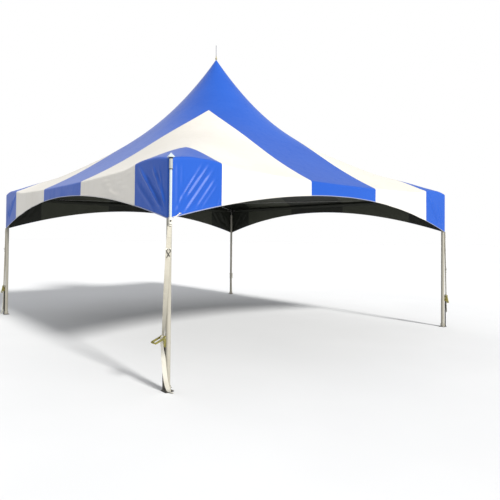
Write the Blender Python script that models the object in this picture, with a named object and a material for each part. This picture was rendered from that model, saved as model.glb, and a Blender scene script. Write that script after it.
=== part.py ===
"""Marquee tent: a square high-peak frame tent with a striped vinyl top.

Metres, +Z up. The origin is on the ground at the middle of the square.
-Y is the front, -X is the left.
"""
import math

import bmesh
import bpy
from mathutils import Vector

# Driving dimensions
HALF = 3.048              # half the 20 ft square, to the leg axes
TUBE_R = 0.0295           # legs, rails and corner fittings
ROOM = 0.0003             # gap between pieces that touch
VINYL = 0.003             # thickness of the vinyl top
FOLD_R = 0.0335           # outer radius of the vinyl where it turns over a rail
FACE = HALF + FOLD_R      # outer plane of the valance
SEAM_1 = 0.772            # half width of the middle stripe
SEAM_2 = 2.353            # outer edge of the second stripe

# Roof: a tent surface drawn up to the mast
EAVE_Z = 2.407            # height at the middle of a side
DRAW = 5.755              # how strongly the mast draws the roof up
CORE = 2.919              # how wide the drawn-up part is
EASE = -0.4536            # straight part of the slope
SQUARENESS = 32.9         # how square the level lines are at the eave
SQUARE_POWER = 4.68       # how fast they turn from round to square
SIDE_DIP = 0.069          # rise of the eave from mid side to corner
CORNER_LIFT = 0.051       # extra rise of the corner panels
LIFT_FROM, LIFT_TO = 2.0, 2.55
POINT_DROP = 0.020        # how far the strap draws the point of a corner down
POINT_FROM = 2.75

# Valance: an arch from corner to corner
ARCH_TOP = 2.236
CORNER_HEM = 1.768
NEAR_HEM = 1.832          # the hem of the front left corner hangs higher

# Frame
FOOT_PLATE = 0.105
FOOT_THICK = 0.008
FOOT_TOP = 0.060
FOOT_COLLAR_R = 0.037
FITTING_BOTTOM = 2.26
FITTING_ARM = 0.10
ARM_R = 0.0265
ARM_START = 0.002         # the arms start just off the leg's axis
CROWN_DROP = 0.012        # top of a fitting below the vinyl's outer face
CROWN_TALL = 0.030
CROWN_R = 0.012
LUG_REACH = 0.14
LUG_HALF_WIDE = 0.010
LUG_HALF_TALL = 0.015
HUB_Z = 2.285
HUB_R = 0.06
HUB_TALL = 0.05
CABLE_R = 0.005
MAST_R = 0.024
FINIAL_TOP = 5.44
FINIAL_STEM_R = 0.008
FINIAL_COLLAR_R = 0.021
FINIAL_COLLAR_TALL = 0.012
FINIAL_SHOULDER_R, FINIAL_SHOULDER_RISE = 0.010, 0.030
FINIAL_TIP_R, FINIAL_TIP_TALL = 0.004, 0.020

# Tension gear on each leg
STRAP_WIDE = 0.050
STRAP_THICK = 0.003
AXLE_OUT = 0.060          # from leg axis to ratchet axle
AXLE_Z = 0.575
AXLE_R = 0.006
AXLE_LONG = 0.087
DRUM_R = 0.016
DRUM_LONG = 0.060         # ends inside the side plates
CHEEK_Y = 0.031           # middle of each side plate of the ratchet
CHEEK_THICK = 0.003
CHEEK_BACK, CHEEK_FRONT = 0.042, 0.080
CHEEK_BOTTOM, CHEEK_TOP = 0.475, 0.600
BACK_PLATE_TOP = 0.550
BRACKET_HALF = 0.014      # half width of the brackets that stand off a leg
BRACKET_BOTTOM, BRACKET_TOP = 0.485, 0.520
ANCHOR_TOP = 0.535        # upper end of the strap that ties the ratchet to the foot
GRIP_REACH = 0.125
GRIP_R = 0.009
HANDLE_Y = 0.039          # middle of each side plate of the handle
HANDLE_THICK = 0.003
HANDLE_WIDE = 0.026
HANDLE_HOLE_R = 0.0069
HANDLE_CLOSED = 78.0      # degrees below level
HANDLE_OPEN = 21.0

# The one bare pole that stands outside the near corner
POLE_OUT = 0.069
POLE_TURN = 67.0          # degrees from the leg's X side towards its Y side
POLE_R = 0.015
POLE_FOOT_Z = 1.84
POLE_COLLAR_Z = 2.37
POLE_TOP = 2.47
POLE_COLLAR_R = 0.0205
CAP_HALF = 0.035
CAP_EDGE = 0.008
CAP_TIP_R = 0.002
CAP_TOP = 2.52
SOCKET_BOTTOM, SOCKET_TOP = 1.7475, 1.825
CUP_BOTTOM = 1.768
NEAR_STRAP_OUT = 0.050    # from leg axis to the upper end of the strap under the socket
NEAR_STRAP_TURN = 240.0
NEAR_STRAP_FACING = 268.0
STRAP_LEAN = 0.0014       # how far the leaning strap's corner rises over its middle

# Rows of the canopy mesh
TIP = 0.012
TIP_ROWS = (TIP, 0.03, 0.09, 0.2, 0.36, 0.56)
RUN_ROWS = (0.0, 0.12, 0.25, 0.4, 0.55, 0.7, 0.85, 1.0)
FOLD_STEPS = 3
VALANCE_STEPS = 2
CORNER_STEPS = 6

# Leg places: name, outward signs of X and Y, turn of the gear from the X axis,
# how far the ratchet handle hangs below level
LEGS = (
    ("front_left", -1, -1, 180.0, HANDLE_OPEN),
    ("front_right", 1, -1, 315.0, HANDLE_CLOSED),
    ("rear_left", -1, 1, 135.0, HANDLE_CLOSED),
    ("rear_right", 1, 1, 45.0, HANDLE_CLOSED),
)
QUARTERS = (("rear_right", 0), ("rear_left", 90), ("front_left", 180), ("front_right", 270))
SIDES = (("rear", 0), ("left", 90), ("front", 180), ("right", 270))

for old in list(bpy.data.objects):
    bpy.data.objects.remove(old, do_unlink=True)


def material(name, colour, roughness, metallic=0.0):
    made = bpy.data.materials.new(name)
    made.use_nodes = True
    shader = made.node_tree.nodes["Principled BSDF"]
    shader.inputs["Base Color"].default_value = (*colour, 1.0)
    shader.inputs["Roughness"].default_value = roughness
    shader.inputs["Metallic"].default_value = metallic
    made.diffuse_color = (*colour, 1.0)
    return made


BLUE_VINYL = material("blue_vinyl", (0.03, 0.13, 0.80), 0.35)
WHITE_VINYL = material("white_vinyl", (0.90, 0.88, 0.82), 0.40)
TUBE_PAINT = material("tube_paint", (0.68, 0.64, 0.53), 0.45, 0.2)
RAIL_PAINT = material("rail_paint", (0.05, 0.05, 0.045), 0.6)
POLE_PAINT = material("pole_paint", (0.88, 0.87, 0.82), 0.35)
CAST_METAL = material("cast_metal", (0.08, 0.08, 0.075), 0.6, 0.5)
ZINC = material("yellow_zinc", (0.62, 0.52, 0.18), 0.35, 0.9)
WEBBING = material("webbing", (0.86, 0.83, 0.72), 0.8)
DARK_WEBBING = material("dark_webbing", (0.05, 0.05, 0.045), 0.8)
STEEL_ROPE = material("steel_rope", (0.35, 0.35, 0.34), 0.45, 0.9)


def finish(bm, name, paint, place=(0, 0, 0), turn=0.0, tilt=0.0):
    """Make one object of a bmesh, its faces pointing out."""
    bmesh.ops.remove_doubles(bm, verts=bm.verts, dist=1e-6)
    bmesh.ops.recalc_face_normals(bm, faces=bm.faces)
    mesh = bpy.data.meshes.new(name)
    bm.to_mesh(mesh)
    bm.free()
    mesh.materials.append(paint)
    piece = bpy.data.objects.new(name, mesh)
    bpy.context.collection.objects.link(piece)
    piece.location = place
    piece.rotation_euler = (0.0, math.radians(tilt), math.radians(turn))
    return piece


def smooth(piece, angle=40.0):
    piece.data.shade_smooth()
    piece.data.set_sharp_from_angle(angle=math.radians(angle))
    return piece


def add_box(bm, low, high):
    made = bmesh.ops.create_cube(bm, size=1.0)
    for vert in made["verts"]:
        vert.co = Vector([low[i] + (high[i] - low[i]) * (vert.co[i] + 0.5) for i in range(3)])
    return bm


def add_turned(bm, profile, sides=16, start=0.0):
    """A solid turned about Z through (radius, height) points, closed at both ends."""
    rings = []
    for radius, height in profile:
        ring = [bm.verts.new((radius * math.cos(start + math.tau * i / sides),
                              radius * math.sin(start + math.tau * i / sides), height))
                for i in range(sides)]
        rings.append(ring)
    for low, high in zip(rings, rings[1:]):
        for i in range(sides):
            j = (i + 1) % sides
            bm.faces.new((low[i], low[j], high[j], high[i]))
    bm.faces.new(list(reversed(rings[0])))
    bm.faces.new(rings[-1])
    return bm


def rod(name, start, end, radius, paint, sides=16, phase=0.0):
    """A straight round bar between two points."""
    start, end = Vector(start), Vector(end)
    bm = bmesh.new()
    add_turned(bm, ((radius, 0.0), (radius, (end - start).length)), sides, phase)
    lean = Vector((0, 0, 1)).rotation_difference(end - start).to_matrix().to_4x4()
    bmesh.ops.transform(bm, matrix=lean, verts=bm.verts)
    return smooth(finish(bm, name, paint, start))


def join(target, tool, operation="UNION"):
    """Fuse a tool into the target, or cut it away, with a live Boolean."""
    change = target.modifiers.new(operation.lower(), "BOOLEAN")
    change.operation = operation
    change.solver = "EXACT"
    change.object = tool
    tool.hide_render = True
    tool.display_type = "WIRE"


def soft_step(low, high, value):
    """0 up to low, 1 from high on, and a soft curve between them."""
    t = min(max((value - low) / (high - low), 0.0), 1.0)
    return t * t * (3.0 - 2.0 * t)


def roof_height(x, y):
    """Outer face of the roof: level lines turn from round at the peak to square at the eave."""
    far, near = max(abs(x), abs(y)), min(abs(x), abs(y))
    share = far / FACE
    power = 2.0 + SQUARENESS * share ** SQUARE_POWER
    reach = far * (1.0 + (near / far) ** power) ** (1.0 / power)
    return (EAVE_Z + EASE * (FACE - reach) + DRAW * math.log((FACE + CORE) / (reach + CORE))
            + SIDE_DIP * (near / FACE) ** 2 * share ** 6
            + CORNER_LIFT * soft_step(LIFT_FROM, LIFT_TO, near)
            - POINT_DROP * soft_step(POINT_FROM, FACE, near))


def roof_point(x, y):
    """Outer and inner point of the vinyl over one spot of the plan."""
    step = 0.002
    slope_x = (roof_height(x + step, y) - roof_height(x - step, y)) / (2 * step)
    slope_y = (roof_height(x, y + step) - roof_height(x, y - step)) / (2 * step)
    normal = Vector((-slope_x, -slope_y, 1.0)).normalized()
    outer = Vector((x, y, roof_height(x, y)))
    return outer, outer - VINYL * normal


def eave_points(x, y, out_x, out_y, corner_hem):
    """The vinyl from the rail line over the fold and down to the arched hem.

    (x, y) is on the rail line, (out_x, out_y) points out of the tent and corner_hem is
    the height of the hem at the nearer corner.
    """
    step = 0.01
    slope = (roof_height(x, y) - roof_height(x + step * out_x, y + step * out_y)) / step
    turn_from = math.atan(slope)
    edge_out = FOLD_R * math.sin(turn_from)
    middle = (roof_height(x + edge_out * out_x, y + edge_out * out_y)
              - FOLD_R * math.cos(turn_from))
    pairs = []
    for k in range(FOLD_STEPS + 1):
        turn = turn_from + (math.pi / 2 - turn_from) * k / FOLD_STEPS
        pair = []
        for radius in (FOLD_R, FOLD_R - VINYL):
            out = radius * math.sin(turn)
            pair.append(Vector((x + out * out_x, y + out * out_y,
                                middle + radius * math.cos(turn))))
        pairs.append(tuple(pair))
    along = min(abs(x), abs(y)) if (out_x == 0 or out_y == 0) else HALF
    hem = ARCH_TOP - (ARCH_TOP - corner_hem) * (along / HALF) ** 2
    for k in range(1, VALANCE_STEPS + 1):
        height = middle + (hem - middle) * k / VALANCE_STEPS
        pairs.append(tuple(Vector((p.x, p.y, height)) for p in pairs[FOLD_STEPS]))
    return pairs


def sheet_solid(name, columns, paint, turn):
    """A closed thin solid from columns of (outer, inner) point pairs."""
    bm = bmesh.new()
    outer = [[bm.verts.new(pair[0]) for pair in column] for column in columns]
    inner = [[bm.verts.new(pair[1]) for pair in column] for column in columns]
    wide, tall = len(columns), len(columns[0])
    for i in range(wide - 1):
        for j in range(tall - 1):
            for side in (outer, inner):
                bm.faces.new((side[i][j], side[i + 1][j], side[i + 1][j + 1], side[i][j + 1]))
    for i in range(wide - 1):
        for j in (0, tall - 1):
            bm.faces.new((outer[i][j], outer[i + 1][j], inner[i + 1][j], inner[i][j]))
    for j in range(tall - 1):
        for i in (0, wide - 1):
            bm.faces.new((outer[i][j], outer[i][j + 1], inner[i][j + 1], inner[i][j]))
    return smooth(finish(bm, name, paint, turn=turn), 50.0)


def centre_panel(name, turn, low_hem, high_hem):
    """The middle stripe of the rear side, from the peak down to the valance hem.

    The two hems are the heights at the side's -X and +X corners.
    """
    steps = 6
    half_wide = SEAM_1 - ROOM / 2
    run = TIP_ROWS + tuple(SEAM_1 + (HALF - SEAM_1) * t for t in RUN_ROWS)
    columns = []
    for i in range(steps + 1):
        across = 2.0 * i / steps - 1.0
        column = [roof_point(across * min(y - ROOM, half_wide), y) for y in run]
        column += eave_points(across * half_wide, HALF, 0, 1,
                              low_hem if across < 0.0 else high_hem)
        columns.append(column)
    return sheet_solid(name, columns, BLUE_VINYL, turn)


def hip_panel(name, turn, corner_hem):
    """The second stripe, mitred over the hip of the rear right quarter."""
    steps = 5
    columns = []
    for i in range(steps + 1):
        off = SEAM_1 + ROOM / 2 + (SEAM_2 - SEAM_1 - ROOM) * i / steps
        run = [off + (HALF - off) * t for t in RUN_ROWS]
        over_y = [roof_point(off, m) for m in run] + eave_points(off, HALF, 0, 1, corner_hem)
        over_x = [roof_point(m, off) for m in run[1:]] + eave_points(HALF, off, 1, 0, corner_hem)
        columns.append(list(reversed(over_y)) + over_x)
    return sheet_solid(name, columns, WHITE_VINYL, turn)


def corner_panel(name, turn, corner_hem):
    """The corner square: it fans out from its inner vertex and wraps round the leg."""
    steps = 4
    inner = SEAM_2 + ROOM / 2
    rim = [(inner + (HALF - inner) * i / steps, HALF, 0.0, 1.0) for i in range(steps)]
    for i in range(CORNER_STEPS + 1):
        angle = math.pi / 2 * (1.0 - i / CORNER_STEPS)
        rim.append((HALF, HALF, math.cos(angle), math.sin(angle)))
    rim += [(HALF, HALF - (HALF - inner) * i / steps, 1.0, 0.0) for i in range(1, steps + 1)]
    columns = []
    for x, y, out_x, out_y in rim:
        column = [roof_point(inner + (x - inner) * t, inner + (y - inner) * t)
                  for t in RUN_ROWS]
        columns.append(column + eave_points(x, y, out_x, out_y, corner_hem))
    return sheet_solid(name, columns, BLUE_VINYL, turn)


for side_name, side_turn in SIDES:
    centre_panel("canopy_centre_" + side_name, side_turn,
                 NEAR_HEM if side_name == "left" else CORNER_HEM,
                 NEAR_HEM if side_name == "front" else CORNER_HEM)
for quarter_name, quarter_turn in QUARTERS:
    quarter_hem = NEAR_HEM if quarter_name == "front_left" else CORNER_HEM
    hip_panel("canopy_hip_" + quarter_name, quarter_turn, quarter_hem)
    corner_panel("canopy_corner_" + quarter_name, quarter_turn, quarter_hem)

# Eave rails, at the height where the fold of the vinyl rests on them at mid side
RAIL_Z = eave_points(0.0, HALF, 0, 1, CORNER_HEM)[FOLD_STEPS][0].z
RAIL_END = HALF - FITTING_ARM - ROOM
for side_name, side_turn in SIDES:
    turned = math.radians(side_turn)
    middle = Vector((-HALF * math.sin(turned), HALF * math.cos(turned), RAIL_Z))
    along = Vector((RAIL_END * math.cos(turned), RAIL_END * math.sin(turned), 0.0))
    rod("eave_rail_" + side_name, middle - along, middle + along, TUBE_R, RAIL_PAINT)


def corner_fitting(name, x, y, sign_x, sign_y):
    """A cast elbow: leg socket, two rail sockets, cable lug, and a crown under the vinyl."""
    crown = roof_height(HALF, HALF) - CROWN_DROP
    bm = bmesh.new()
    add_turned(bm, ((TUBE_R, FITTING_BOTTOM), (TUBE_R, crown - CROWN_TALL), (CROWN_R, crown)))
    fitting = finish(bm, name, CAST_METAL, (x, y, 0.0))
    for tag, in_x, in_y, phase in (("x", -sign_x, 0, 0.0), ("y", 0, -sign_y, math.pi / 16)):
        start = (x + ARM_START * in_x, y + ARM_START * in_y, RAIL_Z)
        end = (x + FITTING_ARM * in_x, y + FITTING_ARM * in_y, RAIL_Z)
        join(fitting, rod(name + "_arm_" + tag, start, end, ARM_R, CAST_METAL, phase=phase))
    bm = bmesh.new()
    add_box(bm, (0.0, -LUG_HALF_WIDE, -LUG_HALF_TALL), (LUG_REACH, LUG_HALF_WIDE, LUG_HALF_TALL))
    inward = math.degrees(math.atan2(-sign_y, -sign_x))
    lug = finish(bm, name + "_lug", CAST_METAL, (x, y, RAIL_Z), inward)
    join(fitting, lug)
    return fitting


def leg_foot(name, x, y):
    bm = bmesh.new()
    half = FOOT_PLATE / 2
    add_box(bm, (-half, -half, 0.0), (half, half, FOOT_THICK))
    foot = finish(bm, name, CAST_METAL, (x, y, 0.0))
    bm = bmesh.new()
    add_turned(bm, ((FOOT_COLLAR_R, FOOT_THICK / 2), (FOOT_COLLAR_R, FOOT_TOP)))
    join(foot, finish(bm, name + "_collar", CAST_METAL, (x, y, 0.0)))
    return foot


def ribbon(name, route, paint):
    """Flat webbing through (x, y, z, azimuth of its width in degrees) points."""
    bm = bmesh.new()
    points = [Vector(p[:3]) for p in route]
    rings = []
    for i, point in enumerate(points):
        ahead = (points[min(i + 1, len(points) - 1)] - points[max(i - 1, 0)]).normalized()
        azimuth = math.radians(route[i][3])
        wide = Vector((math.cos(azimuth), math.sin(azimuth), 0.0))
        wide = (wide - ahead * wide.dot(ahead)).normalized() * STRAP_WIDE / 2
        thick = ahead.cross(wide).normalized() * STRAP_THICK / 2
        rings.append([bm.verts.new(point + a * wide + b * thick)
                      for a, b in ((-1, -1), (1, -1), (1, 1), (-1, 1))])
    for low, high in zip(rings, rings[1:]):
        for i in range(4):
            j = (i + 1) % 4
            bm.faces.new((low[i], low[j], high[j], high[i]))
    bm.faces.new(rings[0])
    bm.faces.new(rings[-1])
    return finish(bm, name, paint)


def smooth_route(points, count):
    """Points on a smooth curve (Catmull-Rom) through the route's own points."""
    ends = [points[0]] + list(points) + [points[-1]]
    route = []
    for k in range(count + 1):
        place = (len(points) - 1) * k / count
        i = min(int(place), len(points) - 2)
        t = place - i
        p0, p1, p2, p3 = ends[i:i + 4]
        route.append(tuple(
            0.5 * (2 * b + (c - a) * t + (2 * a - 5 * b + 4 * c - d) * t * t
                   + (3 * b - a - 3 * c + d) * t ** 3)
            for a, b, c, d in zip(p0, p1, p2, p3)))
    return route


def tension_strap(name, x, y, top, bottom_azimuth, room):
    """Taut webbing from the vinyl's corner down to the ratchet drum.

    top is (reach, azimuth, height, facing) of its upper end, from the leg's axis.
    """
    steps = 20
    reach, azimuth, height, top_facing = top
    high = Vector((reach * math.cos(math.radians(azimuth)),
                   reach * math.sin(math.radians(azimuth)), height))
    low = Vector((AXLE_OUT * math.cos(math.radians(bottom_azimuth)),
                  AXLE_OUT * math.sin(math.radians(bottom_azimuth)),
                  AXLE_Z + DRUM_R + room))
    route = []
    for i in range(steps + 1):
        t = i / steps
        spot = high.lerp(low, t)
        facing = top_facing + (bottom_azimuth - top_facing) * t
        route.append((x + spot.x, y + spot.y, spot.z, facing + 90.0))
    return ribbon(name, route, WEBBING)


def ratchet_frame(name, x, y, azimuth):
    """Side plates, back plate bolted to the leg, drum of wound webbing and its axle."""
    place = (x, y, 0.0)
    bm = bmesh.new()
    add_box(bm, (CHEEK_BACK, -CHEEK_Y - CHEEK_THICK / 2, CHEEK_BOTTOM),
            (CHEEK_BACK + CHEEK_THICK, CHEEK_Y + CHEEK_THICK / 2, BACK_PLATE_TOP))
    frame = finish(bm, name, ZINC, place, azimuth)
    for tag, side in (("left", -1), ("right", 1)):
        bm = bmesh.new()
        add_box(bm, (CHEEK_BACK, side * CHEEK_Y - CHEEK_THICK / 2, CHEEK_BOTTOM),
                (CHEEK_FRONT, side * CHEEK_Y + CHEEK_THICK / 2, CHEEK_TOP))
        join(frame, finish(bm, name + "_cheek_" + tag, ZINC, place, azimuth))
    bm = bmesh.new()
    add_box(bm, (TUBE_R + ROOM, -BRACKET_HALF, BRACKET_BOTTOM),
            (CHEEK_BACK + CHEEK_THICK / 2, BRACKET_HALF, BRACKET_TOP))
    join(frame, finish(bm, name + "_bracket", ZINC, place, azimuth))
    turn = math.radians(azimuth)
    axle = Vector((x + AXLE_OUT * math.cos(turn), y + AXLE_OUT * math.sin(turn), AXLE_Z))
    across = Vector((-math.sin(turn), math.cos(turn), 0.0))
    for tag, radius, long in (("axle", AXLE_R, AXLE_LONG), ("drum", DRUM_R, DRUM_LONG)):
        join(frame, rod(name + "_" + tag, axle - across * long / 2, axle + across * long / 2,
                        radius, ZINC))
    return frame


def ratchet_handle(name, x, y, azimuth, below):
    """Two arms on the axle and a grip bar; its origin is on the axle."""
    turn = math.radians(azimuth)
    place = (x + AXLE_OUT * math.cos(turn), y + AXLE_OUT * math.sin(turn), AXLE_Z)
    span = HANDLE_Y + HANDLE_THICK / 2
    bm = bmesh.new()
    bmesh.ops.create_cone(bm, cap_ends=True, segments=16, radius1=GRIP_R, radius2=GRIP_R,
                          depth=2 * span)
    for vert in bm.verts:
        vert.co = Vector((GRIP_REACH + vert.co.x, vert.co.z, vert.co.y))
    handle = finish(bm, name, ZINC, place, azimuth, below)
    for tag, side in (("left", -1), ("right", 1)):
        bm = bmesh.new()
        add_box(bm, (-HANDLE_WIDE / 2, side * HANDLE_Y - HANDLE_THICK / 2, -HANDLE_WIDE / 2),
                (GRIP_REACH + GRIP_R, side * HANDLE_Y + HANDLE_THICK / 2, HANDLE_WIDE / 2))
        arm = finish(bm, name + "_arm_" + tag, ZINC, place, azimuth, below)
        join(handle, arm)
    bm = bmesh.new()
    add_turned(bm, ((HANDLE_HOLE_R, -2 * span), (HANDLE_HOLE_R, 2 * span)))
    for vert in bm.verts:
        vert.co = Vector((vert.co.x, vert.co.z, vert.co.y))
    join(handle, finish(bm, name + "_hole", ZINC, place, azimuth, below), "DIFFERENCE")
    return handle


def gear_point(x, y, azimuth, out, across, height, width_turn=90.0):
    """A route point from its place outward and sideways of a leg."""
    turn = math.radians(azimuth)
    return (x + out * math.cos(turn) - across * math.sin(turn),
            y + out * math.sin(turn) + across * math.cos(turn), height, azimuth + width_turn)


def anchor_strap(name, x, y, azimuth):
    """Taut webbing that ties the ratchet frame down to the foot plate."""
    out = CHEEK_BACK + CHEEK_THICK + ROOM + STRAP_THICK / 2
    return ribbon(name, [gear_point(x, y, azimuth, out, 0.0, height)
                         for height in (FOOT_THICK + ROOM, ANCHOR_TOP)], DARK_WEBBING)


TAIL_Z = AXLE_Z - DRUM_R - ROOM
TAIL_OUT = AXLE_OUT + DRUM_R + ROOM + STRAP_THICK / 2    # over the outer side of the drum
# Free ends of webbing: (outward, sideways, height, turn of the width from outward)
TAILS = {
    "front_left": ((TAIL_OUT, 0.0, AXLE_Z, 90.0), (0.0765, 0.0, 0.53, 90.0),
                   (0.068, 0.0, 0.4527, 90.0), (0.061, 0.008, 0.375, 102.0),
                   (0.058, 0.0175, 0.30, 112.0), (0.054, 0.034, 0.19, 122.0),
                   (0.045, 0.053, 0.09, 122.0), (0.027, 0.077, 0.022, 108.0),
                   (-0.012, 0.097, 0.004, 97.0)),
    "front_right": ((AXLE_OUT, 0.0, TAIL_Z, 90.0), (0.061, 0.0, 0.48, 90.0),
                    (0.065, 0.002, 0.38, 90.0), (0.072, 0.004, 0.27, 90.0)),
    "rear_left": ((AXLE_OUT, 0.0, TAIL_Z, 90.0), (0.061, 0.0, 0.45, 90.0),
                  (0.066, 0.002, 0.25, 90.0), (0.078, 0.006, 0.09, 90.0),
                  (0.100, 0.012, 0.020, 90.0), (0.140, 0.020, 0.004, 90.0)),
    "rear_right": ((AXLE_OUT, 0.0, TAIL_Z, 90.0), (0.061, 0.0, 0.45, 90.0),
                   (0.067, -0.002, 0.25, 90.0), (0.080, -0.008, 0.09, 90.0),
                   (0.104, -0.016, 0.020, 90.0), (0.146, -0.026, 0.004, 90.0)),
}
TAIL_STEPS = 18

for leg_name, sign_x, sign_y, gear_turn, hang in LEGS:
    leg_x, leg_y = sign_x * HALF, sign_y * HALF
    leg_foot("foot_" + leg_name, leg_x, leg_y)
    rod("leg_" + leg_name, (leg_x, leg_y, FOOT_TOP + ROOM),
        (leg_x, leg_y, FITTING_BOTTOM - ROOM), TUBE_R, TUBE_PAINT)
    corner_fitting("corner_fitting_" + leg_name, leg_x, leg_y, sign_x, sign_y)
    if leg_name == "front_left":
        strap_room = STRAP_LEAN
        strap_top = (NEAR_STRAP_OUT, NEAR_STRAP_TURN, SOCKET_BOTTOM - strap_room,
                     NEAR_STRAP_FACING)
    else:
        strap_room = ROOM
        strap_top = (FOLD_R, gear_turn, CORNER_HEM - strap_room, gear_turn)
    tension_strap("tension_strap_" + leg_name, leg_x, leg_y, strap_top, gear_turn, strap_room)
    ratchet_frame("ratchet_frame_" + leg_name, leg_x, leg_y, gear_turn)
    anchor_strap("anchor_strap_" + leg_name, leg_x, leg_y, gear_turn)
    ratchet_handle("ratchet_handle_" + leg_name, leg_x, leg_y, gear_turn, hang)
    tail = [gear_point(leg_x, leg_y, gear_turn, *spot) for spot in TAILS[leg_name]]
    ribbon("strap_tail_" + leg_name, smooth_route(tail, TAIL_STEPS), WEBBING)

# Crossed cables from the corner lugs to the hub, and the mast that stands on it
HUB_FLAT = HUB_R * math.cos(math.pi / 16)
for leg_name, sign_x, sign_y, gear_turn, hang in LEGS:
    inward = Vector((-sign_x, -sign_y, 0.0)).normalized()
    lug_end = Vector((sign_x * HALF, sign_y * HALF, RAIL_Z)) + inward * (LUG_REACH + 2 * ROOM)
    hub_end = -inward * (HUB_FLAT + 2 * ROOM) + Vector((0.0, 0.0, HUB_Z))
    rod("cable_" + leg_name, lug_end, hub_end, CABLE_R, STEEL_ROPE, sides=8)

hub_mesh = bmesh.new()
add_turned(hub_mesh, ((HUB_R, -HUB_TALL / 2), (HUB_R, HUB_TALL / 2)), start=math.pi / 16)
smooth(finish(hub_mesh, "mast_hub", CAST_METAL, (0.0, 0.0, HUB_Z)))

MAST_STEP = 0.005
mast_slope = (roof_height(MAST_R - MAST_STEP, 0.0)
              - roof_height(MAST_R + MAST_STEP, 0.0)) / (2 * MAST_STEP)
mast_top = roof_height(MAST_R, 0.0) - VINYL * math.hypot(1.0, mast_slope) - 2 * ROOM
rod("mast", (0.0, 0.0, HUB_Z + HUB_TALL / 2 + ROOM), (0.0, 0.0, mast_top), MAST_R, TUBE_PAINT)

COLLAR_Z = roof_height(TIP, 0.0) + 2 * ROOM
finial_mesh = bmesh.new()
add_turned(finial_mesh, ((FINIAL_STEM_R, mast_top + ROOM), (FINIAL_STEM_R, COLLAR_Z),
                         (FINIAL_COLLAR_R, COLLAR_Z),
                         (FINIAL_COLLAR_R, COLLAR_Z + FINIAL_COLLAR_TALL),
                         (FINIAL_SHOULDER_R, COLLAR_Z + FINIAL_SHOULDER_RISE),
                         (FINIAL_STEM_R, FINIAL_TOP - FINIAL_TIP_TALL),
                         (FINIAL_TIP_R, FINIAL_TOP)))
smooth(finish(finial_mesh, "finial", POLE_PAINT))

# The pole outside the front left corner, in its socket on the leg
NEAR_X, NEAR_Y = -HALF, -HALF
POLE_AZIMUTH = math.radians(180.0 + POLE_TURN)
POLE_X = NEAR_X + POLE_OUT * math.cos(POLE_AZIMUTH)
POLE_Y = NEAR_Y + POLE_OUT * math.sin(POLE_AZIMUTH)

socket_mesh = bmesh.new()
add_box(socket_mesh, (TUBE_R + ROOM, -BRACKET_HALF, SOCKET_BOTTOM),
        (POLE_OUT, BRACKET_HALF, SOCKET_TOP))
socket = finish(socket_mesh, "corner_pole_socket", TUBE_PAINT, (NEAR_X, NEAR_Y, 0.0),
                180.0 + POLE_TURN)
cup_mesh = bmesh.new()
add_turned(cup_mesh, ((POLE_COLLAR_R, CUP_BOTTOM), (POLE_COLLAR_R, POLE_FOOT_Z)))
join(socket, finish(cup_mesh, "corner_pole_cup", TUBE_PAINT, (POLE_X, POLE_Y, 0.0)))

pole_mesh = bmesh.new()
add_turned(pole_mesh, ((POLE_R, POLE_FOOT_Z + ROOM), (POLE_R, POLE_COLLAR_Z),
                       (POLE_COLLAR_R, POLE_COLLAR_Z), (POLE_COLLAR_R, POLE_TOP)))
smooth(finish(pole_mesh, "corner_pole", POLE_PAINT, (POLE_X, POLE_Y, 0.0)))

cap_mesh = bmesh.new()
add_turned(cap_mesh, ((CAP_HALF * math.sqrt(2.0), POLE_TOP + ROOM),
                      (CAP_HALF * math.sqrt(2.0), POLE_TOP + CAP_EDGE), (CAP_TIP_R, CAP_TOP)),
           sides=4, start=math.pi / 4)
finish(cap_mesh, "corner_pole_cap", POLE_PAINT, (POLE_X, POLE_Y, 0.0), 180.0 + POLE_TURN)
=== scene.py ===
"""Looks of the marquee tent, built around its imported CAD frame.

Metres, +Z up, the origin on the ground at the middle of the square. -Y is the front, -X the left.
"""

import math

import bmesh
import bpy
import numpy as np
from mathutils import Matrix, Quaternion, Vector


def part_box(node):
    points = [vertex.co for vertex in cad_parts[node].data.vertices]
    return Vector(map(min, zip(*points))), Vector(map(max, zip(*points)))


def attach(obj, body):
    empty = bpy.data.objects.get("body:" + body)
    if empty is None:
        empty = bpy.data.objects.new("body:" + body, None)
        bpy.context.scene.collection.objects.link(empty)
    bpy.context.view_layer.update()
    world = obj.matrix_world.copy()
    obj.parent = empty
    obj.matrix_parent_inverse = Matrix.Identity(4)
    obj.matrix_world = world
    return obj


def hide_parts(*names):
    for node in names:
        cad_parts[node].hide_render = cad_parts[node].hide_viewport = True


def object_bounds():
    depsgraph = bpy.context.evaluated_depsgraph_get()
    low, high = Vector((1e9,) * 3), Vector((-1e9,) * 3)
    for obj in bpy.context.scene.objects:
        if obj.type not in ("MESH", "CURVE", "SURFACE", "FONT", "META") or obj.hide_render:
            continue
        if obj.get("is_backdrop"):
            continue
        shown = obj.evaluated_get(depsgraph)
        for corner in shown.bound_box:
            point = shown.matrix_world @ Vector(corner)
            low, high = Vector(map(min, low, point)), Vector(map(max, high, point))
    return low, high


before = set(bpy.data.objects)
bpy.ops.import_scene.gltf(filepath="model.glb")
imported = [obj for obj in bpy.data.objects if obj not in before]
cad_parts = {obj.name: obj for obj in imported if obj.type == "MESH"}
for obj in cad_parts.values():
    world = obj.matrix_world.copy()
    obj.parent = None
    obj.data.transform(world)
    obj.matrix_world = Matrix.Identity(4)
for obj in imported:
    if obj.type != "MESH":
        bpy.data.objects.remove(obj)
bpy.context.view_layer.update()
TENT = "tent"

# Camera and light
# Eye height is that of a standing photographer in front of the front left corner. One soft sun
# stands before the front, so the left face is in the shade. The backdrop is white, and the sky
# that lights the tent is bright behind it and dimmer before it.
def add(name, data):
    """A new object in the scene, at the origin."""
    made = bpy.data.objects.new(name, data)
    bpy.context.scene.collection.objects.link(made)
    return made


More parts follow.
